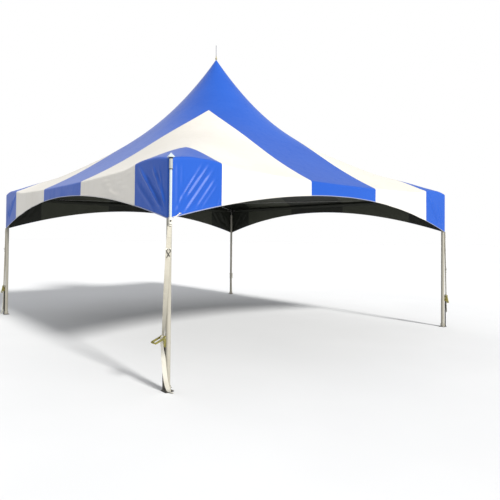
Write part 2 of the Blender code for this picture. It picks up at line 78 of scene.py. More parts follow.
camera_data = bpy.data.cameras.new("camera")
camera_data.sensor_width = 36.0
camera_data.lens = 33.95
camera_data.shift_x, camera_data.shift_y = 0.0648, -0.0410
camera_data.clip_start, camera_data.clip_end = 0.05, 300.0
camera = add("camera", camera_data)
bpy.context.scene.camera = camera
VIEW_YAW, VIEW_ROLL = math.radians(51.07), math.radians(0.54)
camera.location = (-5.799, -7.275, 1.638)
ahead = Vector((math.cos(VIEW_YAW), math.sin(VIEW_YAW), 0.0154))
camera.rotation_euler = (ahead.to_track_quat("-Z", "Y")
                         @ Quaternion((0, 0, 1), VIEW_ROLL)).to_euler()


class Signal:
    """A shader output that takes Python's arithmetic: each operator adds its Math node."""

    def __init__(self, nodes, socket):
        self.nodes, self.socket = nodes, socket

    def math(self, operation, *values):
        return self.nodes.node("ShaderNodeMath", {"operation": operation}, dict(enumerate(values)))

    def __add__(self, other):
        return self.math("ADD", self, other)

    def __sub__(self, other):
        return self.math("SUBTRACT", self, other)

    def __rsub__(self, other):
        return self.math("SUBTRACT", other, self)

    def __mul__(self, other):
        return self.math("MULTIPLY", self, other)

    def __abs__(self):
        return self.math("ABSOLUTE", self)

    __radd__, __rmul__ = __add__, __mul__

    def least(self, other):
        return self.math("MINIMUM", self, other)

    def wave(self, length):
        """A sine of this wavelength."""
        return self.math("SINE", self * (math.tau / length))

    def ramp(self, low, high):
        """0 below low, 1 above high, and smooth between them; low may be the larger."""
        return self.nodes.node("ShaderNodeMapRange", {"interpolation_type": "SMOOTHSTEP"},
                                {"Value": self, "From Min": low, "From Max": high})


class Nodes:
    """A node tree. node() makes any node from its type, settings and socket values."""

    def __init__(self, tree):
        self.tree = tree

    def node(self, kind, settings=None, inputs=None, out=0):
        made = self.tree.nodes.new(kind)
        for key, value in (settings or {}).items():
            setattr(made, key, value)
        for key, value in (inputs or {}).items():
            if isinstance(value, Signal):
                self.tree.links.new(value.socket, made.inputs[key])
            else:
                made.inputs[key].default_value = value
        return Signal(self, made.outputs[out])


bpy.context.scene.view_settings.view_transform = "Standard"
world = bpy.data.worlds.new("sky")
world.use_nodes = True
bpy.context.scene.world = world
sky = Nodes(world.node_tree)
to_rear = sky.node("ShaderNodeVectorMath", {"operation": "DOT_PRODUCT"}, {
    0: sky.node("ShaderNodeTexCoord", out="Object"), 1: (-0.20, 0.98, 0.0)}, "Value")
lit = sky.node("ShaderNodeMapRange", {"interpolation_type": "SMOOTHSTEP"},
               {"Value": to_rear, "From Max": 0.80, "To Min": 0.42})
strength = lit.math("MAXIMUM", lit, sky.node("ShaderNodeLightPath", out="Is Camera Ray"))
backdrop = sky.tree.nodes["Background"].inputs
backdrop["Color"].default_value = (1.0, 1.0, 1.0, 1.0)
sky.tree.links.new(strength.socket, backdrop["Strength"])

sun_data = bpy.data.lights.new("sun", "SUN")
sun_data.energy = 4.9
sun_data.angle = math.radians(9.0)
sun_data.color = (1.0, 0.975, 0.93)
sun = add("sun", sun_data)
sun.rotation_euler = Vector((0.02, 0.87, -0.50)).to_track_quat("-Z", "Y").to_euler()


class Finish(Nodes):
    """A procedural material."""

    def __init__(self, name, metallic=0.0, specular=0.5, sheen=0.0):
        self.material = bpy.data.materials.new(name)
        self.material.use_nodes = True
        super().__init__(self.material.node_tree)
        self.shader = self.tree.nodes["Principled BSDF"]
        self.shader.inputs["Metallic"].default_value = metallic
        self.shader.inputs["Specular IOR Level"].default_value = specular
        self.shader.inputs["Sheen Weight"].default_value = sheen
        self.shader.inputs["Sheen Roughness"].default_value = 0.30

    def axes(self, vector=None):
        """The three parts of a vector, of Object coordinates if none is given."""
        vector = vector or self.node("ShaderNodeTexCoord", out="Object")
        return [self.node("ShaderNodeSeparateXYZ", None, {0: vector}, out) for out in range(3)]

    def attribute(self, name):
        return self.axes(self.node("ShaderNodeAttribute", {"attribute_name": name}, out="Vector"))

    def noise(self, scale, detail=2.0, stretch=(1.0, 1.0, 1.0), roughness=0.5):
        """Noise on Object coordinates, from about 0.3 to 0.7, squeezed by stretch."""
        place = self.node("ShaderNodeMapping", None, {
            "Vector": self.node("ShaderNodeTexCoord", out="Object"), "Scale": stretch})
        return self.node("ShaderNodeTexNoise", None, {
            "Vector": place, "Scale": scale, "Detail": detail, "Roughness": roughness})

    def mix(self, share, first, second):
        """From the first colour to the second as share goes from 0 to 1."""
        first, second = (colour if isinstance(colour, Signal) else (*colour, 1.0)
                         for colour in (first, second))
        return self.node("ShaderNodeMix", {"data_type": "RGBA", "clamp_factor": True},
                         {0: share, 6: first, 7: second}, 2)

    def wear(self, colour, roughness, height=None, depth=0.0003):
        """Feed the shader; height is a bump of this depth in metres."""
        if height is not None:
            bump = self.node("ShaderNodeBump", None, {"Height": height, "Distance": depth})
            self.tree.links.new(bump.socket, self.shader.inputs["Normal"])
        for key, value in (("Base Color", colour), ("Roughness", roughness)):
            if isinstance(value, Signal):
                self.tree.links.new(value.socket, self.shader.inputs[key])
            else:
                self.shader.inputs[key].default_value = value
        return self.material


def quads(rows, columns, first, loop):
    """Corner numbers of a grid's quads: columns close round, and rows do too if loop."""
    index = first + np.arange(rows * columns).reshape(rows, columns)
    if loop:
        index = np.vstack((index, index[:1]))
    right = np.roll(index, -1, axis=1)
    return np.stack((index[:-1], right[:-1], right[1:], index[1:]), axis=-1).reshape(-1, 4)


def make_piece(name, grids, paints, body=TENT, slot=None, replaces=(), sharp=35.0,
               loop=False, facts=None, paint_of_row=None):
    """One smooth mesh of grids of points (rows, columns, 3), its doubles merged, faces outward.

    Unless loop is set, each grid closes at both ends on the middle point of its end row.
    facts holds more values of each point, by attribute name.
    """
    grids = [np.asarray(grid, float) for grid in grids]
    if not loop:
        grids = [np.concatenate((0 * grid[:1] + grid[:1].mean(1, keepdims=True), grid,
                                 0 * grid[-1:] + grid[-1:].mean(1, keepdims=True)))
                 for grid in grids]
    firsts = np.cumsum([0] + [grid.shape[0] * grid.shape[1] for grid in grids])
    points = np.concatenate([grid.reshape(-1, 3) for grid in grids])
    faces = np.concatenate([quads(*grid.shape[:2], first, loop)
                            for grid, first in zip(grids, firsts)])
    mesh = bpy.data.meshes.new(name)
    mesh.from_pydata(points.tolist(), [], faces.tolist())
    for paint in paints if isinstance(paints, (list, tuple)) else [paints]:
        mesh.materials.append(paint)
    if paint_of_row is not None:
        rows = np.repeat(paint_of_row, grids[0].shape[1]).astype(np.int32)
        mesh.polygons.foreach_set("material_index", rows)
    for key, values in (facts or {}).items():
        if not loop:
            values = np.concatenate((values[:1], values, values[-1:]))
        made = mesh.attributes.new(key, "FLOAT_VECTOR", "POINT")
        made.data.foreach_set("vector", np.ascontiguousarray(values, np.float32).ravel())
    merged = bmesh.new()
    merged.from_mesh(mesh)
    bmesh.ops.remove_doubles(merged, verts=merged.verts, dist=1e-6)
    bmesh.ops.dissolve_degenerate(merged, edges=merged.edges, dist=1e-7)
    bmesh.ops.recalc_face_normals(merged, faces=merged.faces)
    merged.to_mesh(mesh)
    merged.free()
    mesh.shade_smooth()
    mesh.set_sharp_from_angle(angle=math.radians(sharp))
    piece = add(name, mesh)
    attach(piece, body)
    if replaces:
        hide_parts(*([replaces] if isinstance(replaces, str) else replaces))
    return piece


# Strap tails
# The free ends of the ratchet straps: 50 mm polyester webbing that leaves each drum and hangs
# towards the ground. It is limp, and the end is cut with a hot knife.
HALF = 3.048
AXLE_OUT, AXLE_Z, DRUM_R, ROOM = 0.060, 0.575, 0.016, 0.0003
WEB_WIDE, WEB_THICK = 0.050, 0.003
TAIL_Z = AXLE_Z - DRUM_R - ROOM
TAIL_OUT = AXLE_OUT + DRUM_R + ROOM + WEB_THICK / 2
TAILS = {    # outward, sideways, up, and how far the webbing's width is turned from outward
    "front_left": ((TAIL_OUT, 0.0, AXLE_Z, 90.0), (0.0765, 0.0, 0.53, 90.0),
                   (0.068, 0.0, 0.4527, 93.0), (0.061, 0.008, 0.375, 115.0),
                   (0.058, 0.0175, 0.30, 124.0), (0.054, 0.034, 0.19, 125.0),
                   (0.045, 0.053, 0.09, 122.0), (0.027, 0.077, 0.022, 108.0),
                   (-0.012, 0.097, 0.004, 97.0)),
    "front_right": ((AXLE_OUT, 0.0, TAIL_Z, 90.0), (0.061, 0.0, 0.48, 90.0),
                    (0.065, 0.002, 0.38, 90.0), (0.072, 0.004, 0.27, 90.0)),
    "rear_left": ((AXLE_OUT, 0.0, TAIL_Z, 90.0), (0.061, 0.0, 0.45, 90.0),
                  (0.066, 0.002, 0.25, 90.0), (0.078, 0.006, 0.09, 90.0),
                  (0.100, 0.012, 0.020, 90.0), (0.140, 0.020, 0.004, 90.0)),
    "rear_right": ((AXLE_OUT, 0.0, TAIL_Z, 90.0), (0.061, 0.0, 0.45, 90.0),
                   (0.067, -0.002, 0.25, 90.0), (0.080, -0.008, 0.09, 90.0),
                   (0.104, -0.016, 0.020, 90.0), (0.146, -0.026, 0.004, 90.0)),
}


def toward(azimuth):
    """The level unit vector of an azimuth in degrees, or one for each of an array."""
    turn = np.radians(azimuth)
    return np.stack((np.cos(turn), np.sin(turn), 0 * turn), axis=-1)


def placed(points, centre, azimuth):
    """(Outward, sideways, up) turned about Z to an azimuth and moved to a centre."""
    turn = math.radians(azimuth)
    out, side, up = np.moveaxis(np.asarray(points, float), -1, 0)
    return np.stack((centre[0] + out * math.cos(turn) - side * math.sin(turn),
                     centre[1] + out * math.sin(turn) + side * math.cos(turn),
                     centre[2] + up), axis=-1)


class Corner:
    """A leg's place: the signs of x and y, the azimuth of its gear, how far its handle hangs."""

    def __init__(self, name, sign_x, sign_y, azimuth, hang):
        self.name, self.azimuth, self.hang = name, azimuth, hang
        self.foot = np.array((sign_x * HALF, sign_y * HALF, 0.0))
        self.along_rails = np.array(((-sign_x, 0.0, 0.0), (0.0, -sign_y, 0.0)))
        self.inward = self.along_rails.sum(0) / math.sqrt(2)
        self.crosswise = np.array((sign_x, -sign_y, 0.0)) / math.sqrt(2)

    def beside(self, points, azimuth=None):
        """Points placed on the leg and turned to an azimuth, its gear's if none is given."""
        return placed(points, self.foot, self.azimuth if azimuth is None else azimuth)


CORNERS = (Corner("front_left", -1, -1, 180.0, 21.0), Corner("front_right", 1, -1, 315.0, 78.0),
           Corner("rear_left", -1, 1, 135.0, 78.0), Corner("rear_right", 1, 1, 45.0, 78.0))


def woven(name, light, dark, soiled):
    """Webbing with cross ribs, firm edges and, where it is sewn, two rows of stitches."""
    cloth = Finish(name, specular=0.25)
    across, along, stitched = cloth.attribute("weave")
    rib = (along + abs(across) * 0.55).wave(0.0052) * 0.5 + 0.5
    edge = abs(across).ramp(0.0225, 0.0245)
    stitch = (along.wave(0.0065).ramp(-0.2, 0.4)
              * (1 - abs(abs(across) - 0.019).ramp(0.0006, 0.0014)) * stitched)
    soil = cloth.noise(9.0, 4.0).ramp(0.42, 0.75)
    low = cloth.axes()[2].ramp(0.35, 0.0)
    colour = cloth.mix(rib * 0.35 + edge * 0.25, light, dark)
    colour = cloth.mix(soil * 0.30 + low * 0.15, colour, soiled)
    return cloth.wear(cloth.mix(stitch * 0.7, colour, soiled), rib * 0.1 + 0.72,
                      rib * (1 - edge) + edge * 0.8 + stitch * 0.8, 0.0006)


WEBBING = woven("woven_webbing", (0.74, 0.72, 0.64), (0.57, 0.545, 0.46), (0.38, 0.35, 0.29))
# A darker copy of the same webbing for the taut straps: painted shade for their shaded side
SHADED_WEBBING = woven("shade_darkened_webbing", (0.47, 0.45, 0.385), (0.37, 0.35, 0.29),
                     (0.29, 0.27, 0.22))
DARK_WEBBING = woven("black_webbing", (0.050, 0.050, 0.046), (0.020, 0.020, 0.018),
                     (0.12, 0.11, 0.09))


def through(points, count):
    """Catmull-Rom: between two points b and c a cubic whose slope at b is half of c - a."""
    points = np.asarray(points, float)
    ends = np.concatenate((points[:1], points, points[-1:]))
    place = np.linspace(0.0, len(points) - 1.0, count + 1)
    i = np.minimum(place.astype(int), len(points) - 2)
    t = (place - i)[:, None]
    a, b, c, d = ends[i], ends[i + 1], ends[i + 2], ends[i + 3]
    return 0.5 * (2 * b + (c - a) * t + (2 * a - 5 * b + 4 * c - d) * t * t
                  + (3 * b - a - 3 * c + d) * t ** 3)


def carried(profile, path, across):
    """A profile carried along a path: path + a * across + b * (tangent x across)."""
    path, profile = np.asarray(path, float), np.asarray(profile, float)
    tangent = np.gradient(path, axis=0)
    tangent /= np.linalg.norm(tangent, axis=1, keepdims=True)
    across = np.broadcast_to(np.asarray(across, float), path.shape)
    across = across - tangent * (across * tangent).sum(1, keepdims=True)
    across = across / np.linalg.norm(across, axis=1, keepdims=True)
    up = np.cross(tangent, across)
    return (path[:, None] + profile[None, :, :1] * across[:, None]
            + profile[None, :, 1:] * up[:, None])


def flat_oval(wide, thick, corner=0.25, count=24):
    """A superellipse: wide * cos(a)^corner, thick * sin(a)^corner, with their signs kept."""
    a = (np.arange(count) + 0.5) * math.tau / count
    return np.stack((np.sign(np.cos(a)) * np.abs(np.cos(a)) ** corner * wide / 2,
                     np.sign(np.sin(a)) * np.abs(np.sin(a)) ** corner * thick / 2), axis=1)


def weave(across, along, sewn=0.0):
    """The weave fact of a grid: its place across, its run along and whether it is sewn there."""
    return {"weave": np.stack(np.broadcast_arrays(across, along, sewn), axis=-1)}


def web_strap(name, path, azimuths, sewn=0.0, paint=WEBBING, slot="webbing", **options):
    """Flat webbing along a path, its width turned to an azimuth at each point.

    It is sewn as far as this distance from the path's start.
    """
    profile = flat_oval(WEB_WIDE, WEB_THICK)
    grid = carried(profile, path, toward(azimuths))
    steps = np.linalg.norm(np.diff(path, axis=0), axis=1)
    run = np.concatenate(([0.0], np.cumsum(steps)))[:, None]
    return make_piece(name, [grid], paint, slot=slot, facts=weave(profile[:, 0], run, run < sewn),
                      **options)


for corner in CORNERS:
    route = through(TAILS[corner.name], 54)
    path = corner.beside(route[:, :3])
    tail = web_strap("tail_" + corner.name, path, corner.azimuth + route[:, 3],
                     replaces="strap_tail_" + corner.name)

# Ground
# A plain pale floor, wide enough for every view. It isn't part of the tent.
ground = Finish("pale_floor", specular=0.2)
GROUND = ground.wear(ground.mix(ground.noise(0.35, 3.0).ramp(0.3, 0.7), (0.75, 0.765, 0.79),
                                (0.78, 0.795, 0.82)), 0.9)
bpy.ops.mesh.primitive_circle_add(vertices=96, radius=120.0, fill_type="NGON",
                                  location=(0.0, 0.0, -0.002))
floor = bpy.context.object
floor.name = "floor"
floor.data.materials.append(GROUND)
floor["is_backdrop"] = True

# Feet
# Square cast plates with a cream collar welded on, which the leg stands in. Two anchor bolts hold
# each plate down, and a pin through the collar keeps the leg in it.
cast = Finish("cast_metal", metallic=0.7, specular=0.4)
grain = cast.noise(220.0, 3.0)
rust = cast.noise(26.0, 4.0).ramp(0.55, 0.72)
CAST = cast.wear(cast.mix(rust, (0.060, 0.060, 0.057), (0.075, 0.050, 0.032)),
                 grain * 0.3 + rust * 0.25 + 0.35, grain, 0.0008)
cream = Finish("cream_tube_paint", specular=0.45)
streaks = cream.noise(60.0, 3.0, (1.0, 1.0, 0.03)).ramp(0.45, 0.75)
scuffs = cream.noise(34.0, 5.0, (1.0, 1.0, 0.25), 0.7).ramp(0.60, 0.68)
dust = cream.axes()[2].ramp(0.9, 0.0) * cream.noise(14.0, 4.0).ramp(0.3, 0.7)
tube_colour = cream.mix(streaks * 0.4, (0.35, 0.335, 0.285), (0.28, 0.265, 0.22))
tube_colour = cream.mix(scuffs * 0.5, tube_colour, (0.25, 0.24, 0.215))
CREAM = cream.wear(cream.mix(dust * 0.4, tube_colour, (0.26, 0.24, 0.195)),
                   scuffs * 0.15 + streaks * 0.12 + 0.36, cream.noise(150.0, 2.0))


def mottled(name, first, second, blotches, roughness, grain, depth=0.0003, **options):
    """A plain finish: noise of a (scale, detail) goes from one colour to the other."""
    plain = Finish(name, **options)
    return plain.wear(plain.mix(plain.noise(*blotches), first, second), roughness,
                      plain.noise(grain), depth)


BOLT = mottled("zinc_bolts", (0.42, 0.41, 0.38), (0.62, 0.61, 0.58), (90.0, 3.0), 0.38, 400.0,
               metallic=0.9)
UP = np.array((0.0, 0.0, 1.0))


def circle(count):
    """Unit vectors evenly round a circle."""
    angle = np.arange(count) * math.tau / count
    return np.column_stack((np.cos(angle), np.sin(angle)))


def turned(profile, sides=32, centre=(0.0, 0.0, 0.0)):
    """A surface of revolution: (radius, height) points turned about Z."""
    radius, height = np.asarray(profile, float).T[:, :, None]
    x, y = circle(sides).T
    return np.stack((x * radius, y * radius, height + 0 * x), axis=-1) + np.asarray(centre, float)


def aimed(points, place, direction):
    """Points about the Z axis, turned so that Z is the direction, and put at a place."""
    z = np.asarray(direction, float) / np.linalg.norm(direction)
    x = np.cross(z, (0.3, 0.2, 0.93) if abs(z[2]) < 0.9 else (1.0, 0.0, 0.0))
    x /= np.linalg.norm(x)
    return points @ np.stack((x, np.cross(z, x), z)) + np.asarray(place, float)


def tube(low, high, radius, edge=0.0015, inset=2.5 * 0.0015):
    """Profile of an upright tube with rounded ends, each closed by a flat from its inset on."""
    return ((radius - inset, low), (radius - edge, low), (radius, low + edge),
            (radius, (low + high) / 2), (radius, high - edge), (radius - edge, high),
            (radius - inset, high))


def bar(start, end, radius, sides=32, edge=0.001):
    """A round bar between two points, its ends slightly rounded."""
    start, end = np.asarray(start, float), np.asarray(end, float)
    long = float(np.linalg.norm(end - start))
    profile = tube(0.0, long, radius, edge, radius * 0.3)
    return aimed(turned(profile, sides), start, end - start)


def bolt(place, direction, size):
    """A washer and a hexagon head standing on a face; size is the width of the head."""
    washer = np.array(((0.2, 0.0), (0.72, 0.0), (0.72, 0.12), (0.2, 0.12)))
    head = np.array(((0.3, 0.12), (0.55, 0.12), (0.575, 0.18), (0.575, 0.46), (0.50, 0.55),
                     (0.25, 0.56)))
    return [aimed(turned(size * profile, sides), place, direction)
            for profile, sides in ((washer, 24), (head, 6))]


def layers(outline, rows):
    """An outline in (x, y), scaled and lifted by each row's (scale, height)."""
    return np.stack([np.column_stack((outline * scale, np.full(len(outline), z)))
                     for scale, z in rows])


FOOT_PLATE, FOOT_THICK, FOOT_EDGE, COLLAR_R, COLLAR_TOP = 0.105, 0.008, 0.0012, 0.037, 0.060
PIN_Z, ANCHOR_REACH = 0.042, 0.042 * math.sqrt(2)
inset = 1.0 - 2.0 * FOOT_EDGE / FOOT_PLATE
plate = layers(flat_oval(FOOT_PLATE, FOOT_PLATE, 0.14, 48),
               ((0.5, 0.0), (inset, 0.0), (1.0, FOOT_EDGE), (1.0, FOOT_THICK - FOOT_EDGE),
                (inset, FOOT_THICK), (0.5, FOOT_THICK)))
collar = turned(((COLLAR_R - 0.004, FOOT_THICK - 0.001), (COLLAR_R + 0.006, FOOT_THICK - 0.001),
                 (COLLAR_R + 0.0045, FOOT_THICK + 0.003), (COLLAR_R - 0.001, 0.0155),
                 (COLLAR_R, 0.018), (COLLAR_R, COLLAR_TOP - 0.003),
                 (COLLAR_R - 0.0012, COLLAR_TOP - 0.0005), (COLLAR_R - 0.004, COLLAR_TOP),
                 (0.0300, COLLAR_TOP), (0.0299, COLLAR_TOP - 0.003)), 40)
for corner in CORNERS:
    make_piece("foot_plate_" + corner.name, [plate + corner.foot], CAST, slot="cast_metal",
               replaces="foot_" + corner.name)
    make_piece("foot_collar_" + corner.name, [collar + corner.foot], CREAM, slot="leg_tube")
    pin = corner.foot + PIN_Z * UP
    anchors = [bar(pin + 0.046 * corner.crosswise, pin - 0.050 * corner.crosswise, 0.004, 16)]
    for reach in (-ANCHOR_REACH, ANCHOR_REACH):
        anchors += bolt(corner.foot + reach * corner.crosswise + FOOT_THICK * UP, UP, 0.013)
    make_piece("foot_bolts_" + corner.name, anchors, BOLT)

# Legs
# Round aluminium tubes with the collars' cream powder coat, a little scuffed, and dusty near the
# ground. Each stands in the collar of its foot and carries a corner fitting.
TUBE_R = 0.0295
FITTING_BOTTOM = 2.26
for corner in CORNERS:
    make_piece("leg_tube_" + corner.name,
               [turned(tube(COLLAR_TOP + ROOM, FITTING_BOTTOM - ROOM, TUBE_R), 40, corner.foot)],
               CREAM, slot="leg_tube", replaces="leg_" + corner.name)

# Corner fittings
# Cast elbows on top of the legs. Two sleeves take the rails, a lug takes the roof cable, and a
# bolt through each sleeve locks its tube.
def heights(node):
    """The lowest and the highest z of a CAD node."""
    return [point.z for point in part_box(node)]


RAIL_Z = sum(heights("eave_rail_front")) / 2
FITTING_TOP = heights("corner_fitting_front_left")[1]
ARM_R, ARM_LONG, LUG_REACH, LUG_TALL, LUG_THICK = 0.0265, 0.10, 0.14, 0.015, 0.012


def arc(centre, radius, start, end, count):
    """Points of a circle from one angle to another, in degrees."""
    angle = np.radians(np.linspace(start, end, count))
    return np.asarray(centre) + radius * np.column_stack((np.cos(angle), np.sin(angle)))


def slab(outline, low, high, order, edge=0.0006):
    """A flat plate: an outline inset at both faces by its chamfer, from low to high across it."""
    middle = outline.mean(0)
    inset = 1.0 - edge / np.linalg.norm(outline - middle, axis=1).max()
    rows = ((0.3, low), (inset, low), (1.0, low + edge), (1.0, high - edge), (inset, high),
            (0.3, high))
    return (layers(outline - middle, rows) + (*middle, 0.0))[..., order]


def side_plate(outline, middle, thick, edge=0.0006):
    """A plate whose outline is in (outward, up), with its thickness sideways."""
    return slab(outline, middle - thick / 2, middle + thick / 2, (0, 2, 1), edge)


lug = side_plate(np.concatenate((arc((LUG_REACH - LUG_TALL, 0.0), LUG_TALL, -90.0, 90.0, 20),
                                 np.linspace((0.12, LUG_TALL), (0.01, LUG_TALL), 16),
                                 np.linspace((0.01, -LUG_TALL), (0.12, -LUG_TALL), 16))),
                 0.0, LUG_THICK, 0.0012)
socket = ((0.020, FITTING_BOTTOM), (TUBE_R - 0.001, FITTING_BOTTOM),
          (TUBE_R, FITTING_BOTTOM + 0.002), (TUBE_R, FITTING_TOP - 0.032),
          (TUBE_R - 0.003, FITTING_TOP - 0.026), (0.020, FITTING_TOP - 0.006),
          (0.008, FITTING_TOP))
for corner in CORNERS:
    middle = corner.foot + RAIL_Z * UP
    bolts = bolt(corner.foot + TUBE_R * corner.inward + (FITTING_BOTTOM + 0.03) * UP,
                 corner.inward, 0.012)
    for along in corner.along_rails:
        bolts += bolt(middle + 0.070 * along - ARM_R * UP, -UP, 0.012)
    arms = [bar(middle, middle + ARM_LONG * along, ARM_R, 36) for along in corner.along_rails]
    lug_azimuth = math.degrees(math.atan2(corner.inward[1], corner.inward[0]))
    make_piece("elbow_" + corner.name,
               [turned(socket, 40, corner.foot), *arms, placed(lug, middle, lug_azimuth)], CAST,
               slot="cast_metal", replaces="corner_fitting_" + corner.name)
    make_piece("elbow_bolts_" + corner.name, bolts, BOLT)

# Eave rails
# Tubes between the corners. The lining's sleeve covers each one but for a hand's breadth at its
# ends, so they read as dark as the lining does; the seam of the sleeve is below.
sleeve_cloth = Finish("lining_sleeve", specular=0.2)
weft = sleeve_cloth.noise(500.0, 1.0)
pucker = sleeve_cloth.noise(16.0, 3.0)
SLEEVE = sleeve_cloth.wear(sleeve_cloth.mix(pucker, (0.018, 0.020, 0.016), (0.030, 0.032, 0.025)),
                           0.70, pucker + weft * 0.2, 0.004)
RAIL_METAL = mottled("rail_ends", (0.10, 0.10, 0.095), (0.17, 0.165, 0.155), (80.0, 4.0), 0.45,
                     300.0, metallic=0.8)
RAIL_END, BARE_END = HALF - ARM_LONG - ROOM, 0.09
for side, turn in (("rear", 0.0), ("left", 90.0), ("front", 180.0), ("right", 270.0)):
    run, out = toward(turn), toward(turn + 90.0)
    middle = out * HALF + RAIL_Z * UP
    make_piece("rail_tube_" + side,
               [bar(middle - run * RAIL_END, middle + run * RAIL_END, TUBE_R - 0.0012, 32)],
               RAIL_METAL, slot="rail_tube", replaces="eave_rail_" + side)
    reach = np.linspace(-1.0, 1.0, 121)[:, None] * (RAIL_END - BARE_END)
    angle = np.arange(36) * math.tau / 36
    seam = np.exp(-((angle - 1.5 * math.pi) / 0.10) ** 2)
    gather = 0.0004 * np.sin(reach * 41.0 + 6.0 * np.sin(angle))
    radius = TUBE_R - 0.0004 + gather + 0.010 * seam
    grid = (middle + reach[..., None] * run + (radius * np.cos(angle))[..., None] * out
            + (radius * np.sin(angle))[..., None] * UP)
    make_piece("rail_sleeve_" + side, [grid], SLEEVE, slot="rail_tube")

# Roof cables and hub
# Crossed wire ropes from corner to corner carry the hub that the mast stands on. Each rope has a
# pressed sleeve at both ends, and a turnbuckle beside the hub draws it tight.
rope = Finish("wire_rope", metallic=0.9)
across, along = rope.attribute("weave")[:2]
strand = (along + across).wave(0.012)
ROPE = rope.wear(rope.mix(strand * 0.5 + 0.5, (0.10, 0.10, 0.10), (0.42, 0.42, 0.41)), 0.42,
                 strand, 0.0012)
HUB_Z, HUB_R, HUB_HALF, CABLE_R = 2.285, 0.06, 0.025, 0.005
HUB_FLAT = HUB_R * math.cos(math.pi / 16)
WIRE = circle(16)
hub_bolts = []
for corner in CORNERS:
    start = corner.foot + RAIL_Z * UP + corner.inward * (LUG_REACH + 0.001)
    end = -corner.inward * (HUB_FLAT + 0.001) + HUB_Z * UP
    long = float(np.linalg.norm(end - start))
    pull = (end - start) / long
    level = np.cross(pull, UP)
    run = np.linspace(0.0, long, 160)[:, None]
    make_piece("rope_" + corner.name,
               [carried(WIRE * (CABLE_R - 0.0008), start + run * pull, level)], ROPE,
               slot="steel_rope", replaces="cable_" + corner.name,
               facts=weave(0.012 * np.arange(16) / 8, run))
    collars = [bar(start + pull * 0.045, start + pull * 0.085, 0.009, 20, 0.002)]
    collars += [bar(end - pull * far, end - pull * near, radius, 20, 0.002)
                for far, near, radius in ((0.085, 0.045, 0.009), (0.20, 0.19, 0.010),
                                          (0.30, 0.29, 0.010))]
    collars += [bar(end - pull * 0.30 + aside, end - pull * 0.19 + aside, 0.0035, 12)
                for aside in (0.010 * level, -0.010 * level)]
    make_piece("rope_ends_" + corner.name, collars, BOLT)
    hub_bolts += bolt((HUB_Z + HUB_HALF) * UP - 0.042 * corner.inward, UP, 0.010)
half_hub = np.array(((0.03, 0.025), (0.054, 0.025), (HUB_FLAT, 0.021), (HUB_FLAT, 0.010),
                     (0.050, 0.006)))
make_piece("hub", [turned(np.concatenate((half_hub * (1, -1), half_hub[::-1])), 48, HUB_Z * UP)],
           CAST, slot="cast_metal", replaces="mast_hub")
make_piece("hub_bolts", hub_bolts, BOLT)

# Mast and finial
# The mast is a cream tube that floats on the cables and holds up the peak. A pale turned spike
# runs through the vinyl and clamps it with a collar. Its paint is stained there, and its grey is
# the white paint darkened as painted shade.
mast_low, mast_high = heights("mast")
mast_foot = ((0.02, mast_low), (0.033, mast_low), (0.033, mast_low + 0.004),
             (0.0265, mast_low + 0.006), (0.0265, mast_low + 0.05), (0.024, mast_low + 0.052))
make_piece("mast_tube", [turned(profile, 36)
                         for profile in (tube(mast_low, mast_high, 0.024), mast_foot)],
           CREAM, slot="leg_tube", replaces="mast")
spike_low, spike_high = heights("finial")
clamp_z = spike_high - 0.280
# A darker grey copy of the pole's white paint: painted shade on the thin spike
spike_shade = Finish("shade_greyed_spike_paint", specular=0.4)
stain = spike_shade.axes()[2].ramp(clamp_z + 0.075, clamp_z + 0.045)
chalk = spike_shade.noise(60.0, 4.0)
SPIKE = spike_shade.wear(spike_shade.mix(stain, spike_shade.mix(chalk, (0.25, 0.255, 0.28), (0.36, 0.365, 0.39)),
                           (0.30, 0.26, 0.12)), chalk * 0.2 + 0.40, chalk)
spike = ((0.005, spike_low), (0.008, spike_low + 0.003), (0.008, clamp_z), (0.020, clamp_z),
         (0.021, clamp_z + 0.002), (0.021, clamp_z + 0.008), (0.0195, clamp_z + 0.011),
         (0.014, clamp_z + 0.014), (0.011, clamp_z + 0.020), (0.010, clamp_z + 0.030),
         (0.0085, clamp_z + 0.045), (0.008, spike_high - 0.020), (0.0068, spike_high - 0.008),
         (0.004, spike_high - 0.0015), (0.002, spike_high))
make_piece("spike", [turned(spike)], SPIKE, slot="white_paint", replaces="finial")

# Canopy
# One sheet of glossy vinyl-coated polyester, welded from five stripes a side over a dark lining.
# The mast draws it up, it folds over the rails, and its arched valance ends in a roped hem. The
# straps pull the corners down, which leaves long folds in the corner squares.
SEAM_1, SEAM_2, VINYL, FOLD_R = 0.772, 2.353, 0.003, 0.0335
FACE = HALF + FOLD_R
ARCH_TOP, CORNER_HEM, NEAR_HEM = 2.236, 1.768, 1.832
SEAM_SOFT, WELD_IN = 0.002, 0.013
EAVE_Z, EAVE_SLOPE, FUNNEL, FUNNEL_FROM = 2.407, 0.4547, 5.859, 2.993
HIP_SHARP, HIP_GROWTH = 27.35, 3.82
CORNER_FROM = 2.32        # where the close columns of the corner squares begin
PEAK_SHARE = 0.0039       # the first ring of the roof, as a share of the way from peak to eave
WRAP = 8                  # steps round each leg
ROOF_ROWS, FOLD_ROWS, VALANCE_ROWS = 46, 5, 34


def ease(value, low, high):
    """Smoothstep: 3t^2 - 2t^3 with t from 0 at low to 1 at high."""
    t = np.clip((value - low) / (high - low), 0.0, 1.0)
    return t * t * (3.0 - 2.0 * t)


